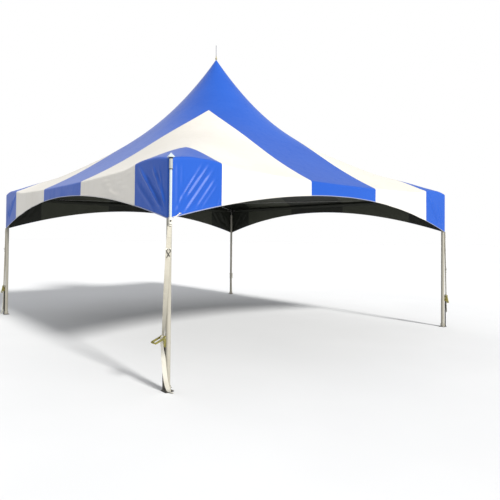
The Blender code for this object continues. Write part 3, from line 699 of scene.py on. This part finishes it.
def roof_height(x, y):
    """A log funnel of reach, whose level lines turn from round at the peak to square at the eave.

    reach is the p-norm of (x, y), with p growing from 2 to 29 along the cubic mean of |x| and
    |y|, so that the hips are soft. The corners lift a little, and their points are drawn down.
    """
    far, near = np.maximum(abs(x), abs(y)), np.minimum(abs(x), abs(y))
    middling = np.cbrt((far ** 3 + near ** 3) / 2.0) / FACE
    power = 2.0 + HIP_SHARP * middling ** HIP_GROWTH
    reach = far * (1.0 + (near / far) ** power) ** (1.0 / power)
    return (EAVE_Z - EAVE_SLOPE * (FACE - reach)
            + FUNNEL * np.log((FACE + FUNNEL_FROM) / (reach + FUNNEL_FROM))
            + 0.069 * (near / FACE) ** 2 * (far / FACE) ** 6 + 0.051 * ease(near, 2.0, 2.55)
            - 0.020 * ease(near, 2.75, FACE))


base, out, spot, side_of = [], [], [], []
for side, (first, last) in enumerate(((60, 32), (32, 32), (32, 32), (32, 60))):
    facing = math.radians(90.0 * side - 90.0)
    s = np.concatenate((np.linspace(-HALF, -CORNER_FROM, first, endpoint=False),
                        np.linspace(-CORNER_FROM, CORNER_FROM, 56, endpoint=False),
                        np.linspace(CORNER_FROM, HALF, last),
                        np.full(WRAP - 1, HALF)))
    turn = facing + np.concatenate((np.zeros(len(s) - WRAP + 1),
                                    np.linspace(0.0, math.pi / 2, WRAP + 1)[1:-1]))
    base.append(np.stack((HALF * math.cos(facing) - s * math.sin(facing),
                          HALF * math.sin(facing) + s * math.cos(facing)), axis=1))
    out.append(np.stack((np.cos(turn), np.sin(turn)), axis=1))
    spot.append(s)
    side_of.append(np.full(len(s), side))
base, out, spot, side_of = (np.concatenate(a) for a in (base, out, spot, side_of))

# The roof runs straight out from the peak in plan, and meets the fold where their slopes agree
outside = base + 0.01 * out
slope_end = np.arctan((roof_height(*base.T) - roof_height(*outside.T)) / 0.01)
slope_end[abs(spot) == HALF] = slope_end[abs(spot) == HALF].min()
rim = base + FOLD_R * np.sin(slope_end)[:, None] * out
fold_centre = roof_height(*rim.T) - FOLD_R * np.cos(slope_end)
share = PEAK_SHARE + (1.0 - PEAK_SHARE) * np.linspace(0.0, 1.0, ROOF_ROWS) ** 1.25
plan = share[:, None, None] * rim
roof = np.concatenate((plan, roof_height(plan[..., 0], plan[..., 1])[..., None]), axis=-1)
bend = slope_end + (math.pi / 2 - slope_end) * np.linspace(0.0, 1.0, FOLD_ROWS + 1)[1:, None]
fold = np.concatenate((base + FOLD_R * np.sin(bend)[..., None] * out,
                       (fold_centre + FOLD_R * np.cos(bend))[..., None]), axis=-1)
by_pole = ((side_of == 0) & (spot < 0.0)) | ((side_of == 3) & (spot > 0.0))
hem = ARCH_TOP - (ARCH_TOP - np.where(by_pole, NEAR_HEM, CORNER_HEM)) * (spot / HALF) ** 2
down = np.linspace(0.0, 1.0, VALANCE_ROWS + 1)[1:, None]
hang = np.concatenate((np.broadcast_to(base + FOLD_R * out, (VALANCE_ROWS, *base.shape)),
                       (fold_centre + (hem - fold_centre) * down)[..., None]), axis=-1)
skin = np.concatenate((roof, fold, hang))
rise = np.concatenate((np.full((ROOF_ROWS, len(spot)), 1.0),
                       skin[ROOF_ROWS:, :, 2] - hem))
cloth = np.concatenate((skin[..., :2], rise[..., None]), axis=-1)

# Folds by side and end: from and to as (distance from the leg, height), width, height
FOLD_GAIN = 1.25    # the folds stand this many times as tall as listed
FOLDS = {
    (0, -1): [((0.139, 2.05), (0.430, 2.47), 0.013, 0.008),
              ((0.205, 2.06), (0.520, 2.46), 0.015, 0.011),
              ((0.174, 1.89), (0.590, 2.42), 0.015, 0.010),
              ((0.330, 1.94), (0.610, 2.30), 0.016, 0.007),
              ((0.410, 1.95), (0.640, 2.24), 0.014, 0.005),
              ((0.057, 1.88), (0.150, 2.08), 0.012, 0.007),
              ((0.075, 1.89), (0.072, 2.42), 0.016, 0.008),
              ((0.646, 1.98), (0.672, 2.08), 0.009, 0.005),
              ((0.137, 2.20), (0.138, 2.41), 0.013, 0.004)],
    (3, 1): [((0.095, 1.935), (0.590, 2.43), 0.024, 0.014),
             ((0.020, 1.98), (0.300, 2.42), 0.026, 0.009),
             ((0.030, 1.92), (0.170, 2.40), 0.020, 0.006),
             ((0.250, 1.93), (0.640, 2.24), 0.028, 0.007),
             ((1.250, 2.18), (1.530, 2.38), 0.026, 0.009),
             ((0.755, 2.34), (0.850, 2.43), 0.016, 0.006),
             ((1.100, 2.13), (1.400, 2.21), 0.026, 0.007),
             ((0.960, 2.20), (1.150, 2.36), 0.020, 0.006)],
    (0, 1): [((0.230, 1.91), (0.620, 2.39), 0.024, 0.015),
             ((0.090, 1.87), (0.260, 2.27), 0.020, 0.007)],
    (3, -1): [((0.180, 1.97), (0.655, 2.43), 0.024, 0.015),
              ((0.070, 1.88), (0.230, 2.29), 0.020, 0.007)],
}
chance = np.random.default_rng(7)
for place in ((1, -1), (1, 1), (2, -1), (2, 1)):
    FOLDS[place] = []
    for start in (0.06, 0.15, 0.24, 0.34, 0.46):
        from_leg = start + chance.uniform(-0.03, 0.03)
        long = chance.uniform(0.18, 0.42)
        lean = chance.uniform(0.50, 0.72)
        low = 1.86 + 0.35 * start + chance.uniform(0.0, 0.06)
        FOLDS[place].append(((from_leg, low), (from_leg + lean * long, min(low + long, 2.42)),
                             chance.uniform(0.028, 0.038), chance.uniform(0.005, 0.011)))

height = skin[..., 2]
relief = np.zeros(height.shape)
for (side, end), folds in FOLDS.items():
    from_leg = HALF - end * spot
    for low, high, wide, tall in folds:
        run = np.subtract(high, low)
        long = np.hypot(*run)
        run = run / long
        share_along = ((from_leg - low[0]) * run[0] + (height - low[1]) * run[1]) / long
        beside = (from_leg - low[0]) * run[1] - (height - low[1]) * run[0]
        fade = ease(share_along, -0.12, 0.22) * (1.0 - ease(share_along, 0.75, 1.10))
        ridge = np.exp(-(beside / wide) ** 2)
        ridge -= 0.55 * np.exp(-((beside + 1.9 * wide) / wide) ** 2)
        relief += FOLD_GAIN * tall * fade * ridge * (side_of == side)
row = np.arange(len(skin))[:, None]
relief *= ease(row, ROOF_ROWS, ROOF_ROWS + FOLD_ROWS + 3.0)
free = ease(HALF - abs(spot), 0.05, 0.12) * (1.0 - ease(height, RAIL_Z - 0.10, RAIL_Z - 0.04))
relief = np.where(relief < 0.0, relief * free, relief * ease(HALF - abs(spot), 0.0, 0.05))
sway = ease(row, ROOF_ROWS + FOLD_ROWS, len(skin)) * (1.0 - ease(abs(spot), 2.1, 2.6))
relief += 0.005 * sway * np.sin(spot * 11.3 + side_of * 1.7) * np.cos(spot * 2.9 + side_of)


def outward(grid):
    """Unit normals: the cross product of the steps down and round the sheet."""
    normal = np.cross(np.gradient(grid, axis=0), np.roll(grid, -1, 1) - np.roll(grid, 1, 1))
    return normal / np.linalg.norm(normal, axis=-1, keepdims=True)


skin = skin + relief[..., None] * outward(skin)
lining_skin = skin - VINYL * outward(skin)


def stripes(finish):
    """Where it is white, where the welds beside the seams are, and the height over the hem."""
    cloth_x, cloth_y, above_hem = finish.attribute("cloth")
    stripe = abs(cloth_x).least(abs(cloth_y))
    is_white = (stripe.ramp(SEAM_1 - SEAM_SOFT, SEAM_1 + SEAM_SOFT)
                * (1 - stripe.ramp(SEAM_2 - SEAM_SOFT, SEAM_2 + SEAM_SOFT)))
    weld = (1 - abs(stripe - SEAM_1 - WELD_IN).ramp(0.011, 0.014)
            + (1 - abs(stripe - SEAM_2 + WELD_IN).ramp(0.011, 0.014)))
    return is_white, weld, above_hem


vinyl = Finish("striped_vinyl", specular=0.25, sheen=0.10)
is_white, weld, above_hem = stripes(vinyl)
hem_edge = 1 - above_hem.ramp(0.004, 0.009)
hem_band = 1 - above_hem.ramp(0.030, 0.034)
clouds = vinyl.noise(0.9, 4.0).ramp(0.25, 0.75)
runs = vinyl.noise(14.0, 3.0, (1.0, 1.0, 0.08)).ramp(0.50, 0.78)
crinkle = vinyl.noise(5.5, 3.0)
fine = vinyl.noise(60.0, 2.0)
blue = vinyl.mix(clouds, (0.010, 0.073, 0.395), (0.015, 0.087, 0.435))
cream_white = vinyl.mix(clouds * 0.6 + runs * 0.25, (0.66, 0.64, 0.60), (0.58, 0.56, 0.51))
vinyl_colour = vinyl.mix(is_white, blue, cream_white)
vinyl_colour = vinyl.mix(hem_edge * 0.6 + weld * 0.05, vinyl_colour, (0.42, 0.43, 0.45))
VINYL_OUT = vinyl.wear(vinyl_colour, is_white * 0.06 + runs * 0.06 + fine * 0.08 + 0.38,
                       crinkle + weld * 0.25 + hem_band * 0.2 + fine * 0.05, 0.004)

lining = Finish("dark_lining", specular=0.22)
under_white, weld, above_hem = stripes(lining)
lining_colour = lining.mix(under_white, (0.021, 0.023, 0.018), (0.052, 0.056, 0.041))
LINING = lining.wear(lining.mix(weld * 0.3, lining_colour, (0.05, 0.055, 0.045)),
                     lining.noise(7.0, 3.0) * 0.2 + 0.42,
                     lining.noise(4.0, 3.0) + lining.noise(300.0, 1.0) * 0.05 + weld * 0.2, 0.004)

SIDES, corners = ("front", "left", "rear", "right"), [corner.name for corner in CORNERS]
panels = {"centre": SIDES, "hip": corners, "corner": corners}
canopy = make_piece("canopy", [np.concatenate((skin, lining_skin[::-1]))], [VINYL_OUT, LINING],
                    slot="blue_vinyl", loop=True, sharp=60.0,
                    facts={"cloth": np.concatenate((cloth, cloth[::-1]))},
                    paint_of_row=(np.arange(2 * len(skin)) >= len(skin) - 1).astype(int),
                    replaces=["canopy_%s_%s" % (panel, place)
                              for panel, places in panels.items() for place in places])

# The hem: a rope in a fold of the same vinyl, all the way round
HEM_R = 0.0045
hem_path = skin[-1] + 0.002 * np.column_stack((out, np.zeros(len(out))))
round_hem = np.roll(hem_path, -1, 0) - np.roll(hem_path, 1, 0)
round_hem /= np.linalg.norm(round_hem, axis=1, keepdims=True)
sideways = np.cross(round_hem, UP)
bead = HEM_R * circle(10)
hem_grid = (hem_path[:, None] + bead[:, :1] * sideways[:, None]
            + bead[:, 1:] * np.cross(sideways, round_hem)[:, None])
hem_rope = make_piece("hem_rope", [hem_grid], VINYL_OUT, slot="blue_vinyl", loop=True, sharp=80.0,
                      facts={"cloth": np.repeat(cloth[-1][:, None], len(bead), axis=1)})

# Tension straps
# Webbing sewn to each corner of the canopy, or at the bare pole to its socket, and wound on the
# ratchet below. A hairpin clip hangs in a loop of each strap.
PIN_STEEL = mottled("dark_pin_steel", (0.05, 0.05, 0.048), (0.14, 0.135, 0.125), (150.0, 3.0),
                    0.42, 500.0, 0.0002, metallic=0.85)
POLE_OUT, POLE_AZIMUTH = 0.069, 247.0
SOCKET_BOTTOM, SOCKET_TOP, CUP_BOTTOM = 1.7475, 1.825, 1.768
STRAP_LEAN = 0.0014
CLIP_Z = {"front_left": 1.462, "front_right": 1.06, "rear_left": 1.33, "rear_right": 1.22}
clip = through(((-0.017, -0.049), (-0.009, -0.028), (0.001, -0.008), (0.014, 0.008),
                (0.020, 0.020), (0.018, 0.034), (0.008, 0.043), (-0.006, 0.043),
                (-0.016, 0.034), (-0.018, 0.018), (-0.012, 0.004), (-0.002, -0.010),
                (0.006, -0.022), (0.015, -0.036)), 110)
bulge = 0.0080 + 0.003 * np.sin(np.linspace(0.0, math.pi, len(clip)))[:, None]
loop = through(((-0.030, 0.0), (-0.026, 0.0045), (-0.012, 0.0062), (0.0, 0.0062),
                (0.012, 0.0062), (0.026, 0.0045), (0.030, 0.0)), 30)
band = flat_oval(0.020, 0.0016)
for corner in CORNERS:
    room, high, top, top_turn, top_facing = ROOM, CORNER_HEM, FOLD_R, None, corner.azimuth
    if corner.name == "front_left":
        room, high, top, top_turn, top_facing = STRAP_LEAN, SOCKET_BOTTOM, 0.050, 240.0, 268.0
    t = np.linspace(0.0, 1.0, 70)[:, None]
    upper = corner.beside((top, 0.0, high - room), top_turn)
    lower = corner.beside((AXLE_OUT, 0.0, AXLE_Z + DRUM_R + room))
    path = upper + (lower - upper) * t
    facing = top_facing + (corner.azimuth - top_facing) * t[:, 0]
    # The taut straps take the darker copy of the webbing, which is painted shade
    web_strap("strap_" + corner.name, path, facing + 90.0, 0.13, SHADED_WEBBING,
              replaces="tension_strap_" + corner.name)
    outer = toward(facing)
    web_strap("strap_fold_" + corner.name, path[:8] + 0.0031 * outer[:8], facing[:8] + 90.0, 0.2,
              SHADED_WEBBING)
    at = int(np.abs(path[:, 2] - CLIP_Z[corner.name]).argmin())
    level = np.cross(UP, outer[at])
    clip_path = path[at] + bulge * outer[at] + (clip[:, :1] + 0.006) * level + clip[:, 1:] * UP
    make_piece("clip_" + corner.name, [carried(WIRE * 0.0035, clip_path, outer[at])], PIN_STEEL)
    loop_path = path[at] + 0.041 * UP + loop[:, :1] * level + loop[:, 1:] * outer[at]
    make_piece("clip_loop_" + corner.name, [carried(band, loop_path, UP)], WEBBING,
               slot="webbing", facts=weave(band[:, 0], np.linspace(0.0, 0.06, len(loop))[:, None]))

# The hem at the bare pole is laced to the leg through a grommet, as the photo shows
GROMMET_IN, GROMMET_R, GROMMET_WIRE = 0.115, 0.008, 0.0022
nearest = int(np.argmin(np.abs(spot + HALF - GROMMET_IN) + 9.0 * (side_of != 0)))
eye = skin[-2, nearest] + (0.0, -0.001, 0.008)
spokes = np.insert(circle(32), 1, 0.0, axis=1)[:, None]
grommet = (eye + spokes * (GROMMET_R + GROMMET_WIRE * WIRE[:, :1])
           - (0.0, GROMMET_WIRE, 0.0) * WIRE[:, 1:])
make_piece("grommet", [grommet], BOLT, loop=True)
lace = through(((0.0, 0.0, 0.0), (-0.022, -0.006, -0.012), (-0.048, -0.006, -0.030),
                (-0.078, -0.004, -0.040), (-0.098, 0.010, -0.044), (-0.080, -0.002, -0.048),
                (-0.050, -0.008, -0.038), (-0.024, -0.008, -0.020), (-0.004, -0.005, -0.006),
                (0.014, -0.004, 0.003), (0.020, 0.001, -0.004)), 140)
make_piece("hem_lacing", [carried(WIRE * 0.0026, lace + eye, (0.1, 1.0, 0.2))], WEBBING,
           slot="webbing",
           facts=weave(0.004 * np.arange(16) / 16, np.linspace(0.0, 0.3, len(lace))[:, None]))

# Ratchets
# Pressed side plates with a yellow zinc finish, bolted to the leg by a back plate. The slotted
# axle carries two toothed wheels and the wound webbing, and a sprung pawl locks the wheels.
zinc = Finish("yellow_zinc", metallic=0.9)
bloom = zinc.noise(40.0, 4.0)
worn = zinc.noise(170.0, 5.0, roughness=0.65).ramp(0.50, 0.68)
zinc_colour = zinc.mix(bloom.ramp(0.3, 0.7), (0.42, 0.36, 0.11), (0.23, 0.22, 0.08))
ZINC = zinc.wear(zinc.mix(worn * 0.8, zinc_colour, (0.06, 0.055, 0.030)), bloom * 0.25 + 0.24,
                 zinc.noise(260.0, 2.0))
CHEEK_BACK, CHEEK_BOTTOM, CHEEK_Y, CHEEK_THICK = 0.042, 0.475, 0.031, 0.003
BACK_TOP, BRACKET_LOW, BRACKET_HIGH, BRACKET_HALF = 0.550, 0.485, 0.520, 0.014
SPRING_OUT, SPRING_Z, SPRING_R = 0.0705, 0.528, 0.0034


def front_plate(half, low, high, back, front, edge=0.0006):
    """An upright plate across the gear, its corners slightly rounded, from back to front."""
    outline = flat_oval(2.0, 2.0, 0.12, 40) * (half, (high - low) / 2) + (0.0, (low + high) / 2)
    return slab(outline, back, front, (2, 0, 1), edge)


def crossbar(out_at, up_at, half_long, radius, sides=28):
    """A round bar that lies sideways in the gear's own axes."""
    return bar((out_at, -half_long, up_at), (out_at, half_long, up_at), radius, sides)


cheek = np.concatenate((arc((AXLE_OUT, AXLE_Z), 0.0198, -25.0, 155.0, 24),
                        np.linspace((CHEEK_BACK, 0.578), (CHEEK_BACK, 0.479), 14),
                        ((0.0432, 0.4758), (0.046, CHEEK_BOTTOM)),
                        np.linspace((0.050, CHEEK_BOTTOM), (0.066, CHEEK_BOTTOM), 5),
                        ((0.069, 0.4762), (0.070, 0.480)),
                        np.linspace((0.0705, 0.490), (0.0775, 0.560), 10)))
tooth = np.arange(96) * math.tau / 96
tooth_r = 0.0215 - 0.0036 * (tooth * 12 / math.tau % 1.0)
wheel = np.column_stack((AXLE_OUT + tooth_r * np.cos(tooth), AXLE_Z + tooth_r * np.sin(tooth)))
wound = np.linspace(0.0, 2.25 * math.tau, 110)
layer_r = 0.0075 + (WEB_THICK + 0.0001) * wound / math.tau
winding = np.column_stack((AXLE_OUT + layer_r * np.cos(wound), 0 * wound,
                           AXLE_Z + layer_r * np.sin(wound)))
coil = np.linspace(0.0, 8.0 * math.tau, 200)
spring = np.column_stack((SPRING_OUT + SPRING_R * np.cos(coil), np.linspace(-0.020, 0.020, 200),
                          SPRING_Z + SPRING_R * np.sin(coil)))
plates = [front_plate(0.0325, CHEEK_BOTTOM, BACK_TOP, CHEEK_BACK, CHEEK_BACK + 0.003),
          front_plate(BRACKET_HALF, BRACKET_LOW, BRACKET_HIGH, TUBE_R + ROOM, CHEEK_BACK + 0.0015),
          front_plate(0.029, 0.535, 0.547, 0.066, 0.0685),
          crossbar(AXLE_OUT, AXLE_Z, 0.0435, 0.006)]
steel = [crossbar(SPRING_OUT, SPRING_Z, 0.034, 0.0024, 16), carried(WIRE * 0.0007, spring, UP),
         crossbar(0.049, 0.584, 0.0345, 0.0028, 16)]
for side in (-1, 1):
    plates += [side_plate(cheek, side * CHEEK_Y, CHEEK_THICK),
               side_plate(wheel, side * 0.0279, 0.0026, 0.0003)]
    steel += bolt((CHEEK_BACK + 0.0063, side * 0.013, 0.4880), (1, 0, 0), 0.009)
    steel += bolt((AXLE_OUT, side * 0.0432, AXLE_Z), (0, side, 0), 0.0085)
for corner in CORNERS:
    make_piece("ratchet_plates_" + corner.name, [corner.beside(grid) for grid in plates], ZINC,
               slot="yellow_zinc", replaces="ratchet_frame_" + corner.name, sharp=30.0)
    make_piece("ratchet_steel_" + corner.name, [corner.beside(grid) for grid in steel], BOLT)
    web_strap("winding_" + corner.name, corner.beside(winding), corner.azimuth + 90.0)

# Anchor straps
# Short black webbing, taut from each ratchet frame down to the foot plate. A clamp bar holds its
# lower end on the plate, and its upper end is bolted to the frame's back plate.
ANCHOR_OUT, ANCHOR_TOP = CHEEK_BACK + CHEEK_THICK + ROOM + WEB_THICK / 2, 0.535
CLAMP_FACE = ANCHOR_OUT + 0.0041
route = np.linspace((ANCHOR_OUT, 0.0, FOOT_THICK + ROOM), (ANCHOR_OUT, 0.0, ANCHOR_TOP), 60)
clamp = [front_plate(0.0255, 0.0085, 0.0235, ANCHOR_OUT + 0.0016, CLAMP_FACE)]
for side in (-1, 1):
    clamp += bolt((CLAMP_FACE, side * 0.015, 0.016), (1, 0, 0), 0.007)
for corner in CORNERS:
    web_strap("anchor_" + corner.name, corner.beside(route), corner.azimuth + 90.0, 0.0,
              DARK_WEBBING, "dark_webbing", replaces="anchor_strap_" + corner.name)
    make_piece("anchor_clamp_" + corner.name, [corner.beside(grid) for grid in clamp], PIN_STEEL)

# Ratchet handles
# Two pressed arms on the axle and a ribbed grip between them. Each turns on its own axle: three
# are folded down, and the one at the bare pole is left half open.
GRIP_OUT, GRIP_HALF, LEVER_Y, LEVER_HALF = 0.125, 0.0374, 0.039, 0.0116
arm = np.concatenate((arc((0.0, 0.0), 0.013, 70.0, 290.0, 26),
                      np.linspace((0.02, -LEVER_HALF), (0.115, -LEVER_HALF), 12),
                      arc((0.1235, 0.0), 0.0105, -85.0, 85.0, 16),
                      np.linspace((0.115, LEVER_HALF), (0.02, LEVER_HALF), 12)))
along_grip = np.linspace(-GRIP_HALF, GRIP_HALF, 90)
grip_r = 0.0084 + 0.0006 * np.cos(along_grip * math.tau / 0.0055)
grip_r[[0, -1]] = 0.0075
rivet = turned(((0.004, 0.0), (0.0048, 0.0004), (0.0042, 0.0016), (0.002, 0.0020)), 20)
lever = [turned(np.column_stack((grip_r, along_grip)), 28)[..., (0, 2, 1)] + (GRIP_OUT, 0.0, 0.0)]
for side in (-1, 1):
    lever += [side_plate(arm, side * LEVER_Y, 0.003),
              aimed(rivet, (GRIP_OUT, side * (LEVER_Y + 0.0014), 0.0), (0, side, 0))]
for corner in CORNERS:
    fall = math.radians(corner.hang)
    swung = [np.stack((AXLE_OUT + part[..., 0] * math.cos(fall) + part[..., 2] * math.sin(fall),
                       part[..., 1],
                       AXLE_Z - part[..., 0] * math.sin(fall) + part[..., 2] * math.cos(fall)),
                      axis=-1) for part in lever]
    make_piece("ratchet_lever_" + corner.name, [corner.beside(part) for part in swung], ZINC,
               body="handle_" + corner.name, slot="yellow_zinc",
               replaces="ratchet_handle_" + corner.name, sharp=30.0)

# Corner pole
# A white pole stands outside the front left corner in a cup on the leg. It has a pale sleeve
# between two near-black rings at its top, and a white pyramid cap. The rings are painted shadow:
# the upper one stands for the shadow under the cap, the lower one for the dark line at the
# sleeve's foot.
POLE_R, SLEEVE_R, POLE_FOOT, SLEEVE_LOW = 0.015, 0.0205, 1.84, 2.345
POLE_TOP, CAP_TOP, CAP_HALF = 2.47, 2.52, 0.035
by_leg = CORNERS[0]
pole = by_leg.beside((POLE_OUT, 0.0, 0.0), POLE_AZIMUTH)
white = Finish("white_gloss_paint", specular=0.5)
smudge = white.noise(30.0, 4.0).ramp(0.50, 0.75)
WHITE = white.wear(white.mix(smudge * 0.4, (0.44, 0.50, 0.53), (0.35, 0.385, 0.39)),
                   smudge * 0.2 + 0.28, white.noise(120.0), 0.0002)
make_piece("pole_tube", [turned(tube(POLE_FOOT + ROOM, SLEEVE_LOW + 0.01, POLE_R), 32, pole)],
           WHITE, slot="white_paint", replaces="corner_pole")
MILKY = mottled("milky_sleeve_paint", (0.37, 0.39, 0.375), (0.30, 0.315, 0.30), (30.0, 3.0), 0.42,
                150.0, 0.0002, specular=0.4)
# Near-black finish of the two pole rings: painted shadow under the cap and at the sleeve's foot
PAINTED_SHADOW_RUBBER = mottled("painted_shadow_rubber", (0.020, 0.020, 0.019), (0.045, 0.044, 0.042), (80.0, 2.0), 0.65,
                 300.0, specular=0.3)
make_piece("pole_sleeve", [turned(((0.014, SLEEVE_LOW), (0.0185, SLEEVE_LOW),
                                   (0.0196, SLEEVE_LOW + 0.001), (0.0196, POLE_TOP - 0.002),
                                   (0.018, POLE_TOP)), 32, pole)], MILKY, slot="leg_tube")
# Both rings are painted shadow lines, not parts with a colour of their own
make_piece("pole_shadow_rings", [bar(pole + low * UP, pole + high * UP, SLEEVE_R)
                          for low, high in ((SLEEVE_LOW - 0.003, SLEEVE_LOW + 0.006),
                                            (POLE_TOP - 0.016, POLE_TOP - 0.0005))], PAINTED_SHADOW_RUBBER)
cap_outline = flat_oval(2.0, 2.0, 0.10, 64)
cap_rows = ((0.018, POLE_TOP + ROOM), (CAP_HALF - 0.0005, POLE_TOP + ROOM),
            (CAP_HALF, POLE_TOP + 0.001), (CAP_HALF, POLE_TOP + 0.0075),
            (CAP_HALF - 0.0012, POLE_TOP + 0.0095), (0.0025, CAP_TOP - 0.0012), (0.001, CAP_TOP))
make_piece("pole_cap", [placed(layers(cap_outline, cap_rows), pole, POLE_AZIMUTH)], WHITE,
           slot="white_paint", replaces="corner_pole_cap", sharp=25.0)
pale = Finish("pale_socket_paint", specular=0.4)
chips = pale.noise(70.0, 5.0, roughness=0.7).ramp(0.60, 0.68)
PALE = pale.wear(pale.mix(chips * 0.7 + pale.noise(12.0, 3.0) * 0.2, (0.66, 0.64, 0.57),
                          (0.24, 0.22, 0.18)), chips * 0.2 + 0.4, chips)
arm_plate = front_plate(BRACKET_HALF, SOCKET_BOTTOM, SOCKET_TOP, TUBE_R + ROOM, POLE_OUT, 0.002)
cup = turned(((0.010, CUP_BOTTOM), (0.0195, CUP_BOTTOM), (SLEEVE_R, CUP_BOTTOM + 0.0015),
              (SLEEVE_R, POLE_FOOT - 0.008), (0.0200, POLE_FOOT - 0.002), (0.0185, POLE_FOOT),
              (0.014, POLE_FOOT)), 36, (POLE_OUT, 0.0, 0.0))
make_piece("pole_socket", [by_leg.beside(grid, POLE_AZIMUTH) for grid in (arm_plate, cup)], PALE,
           slot="leg_tube", replaces="corner_pole_socket", sharp=30.0)
make_piece("socket_bolts",
           [by_leg.beside(grid, POLE_AZIMUTH)
            for grid in bolt((POLE_OUT + SLEEVE_R, 0.0, 1.800), (1, 0, 0), 0.014)], PIN_STEEL)

low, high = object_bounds()
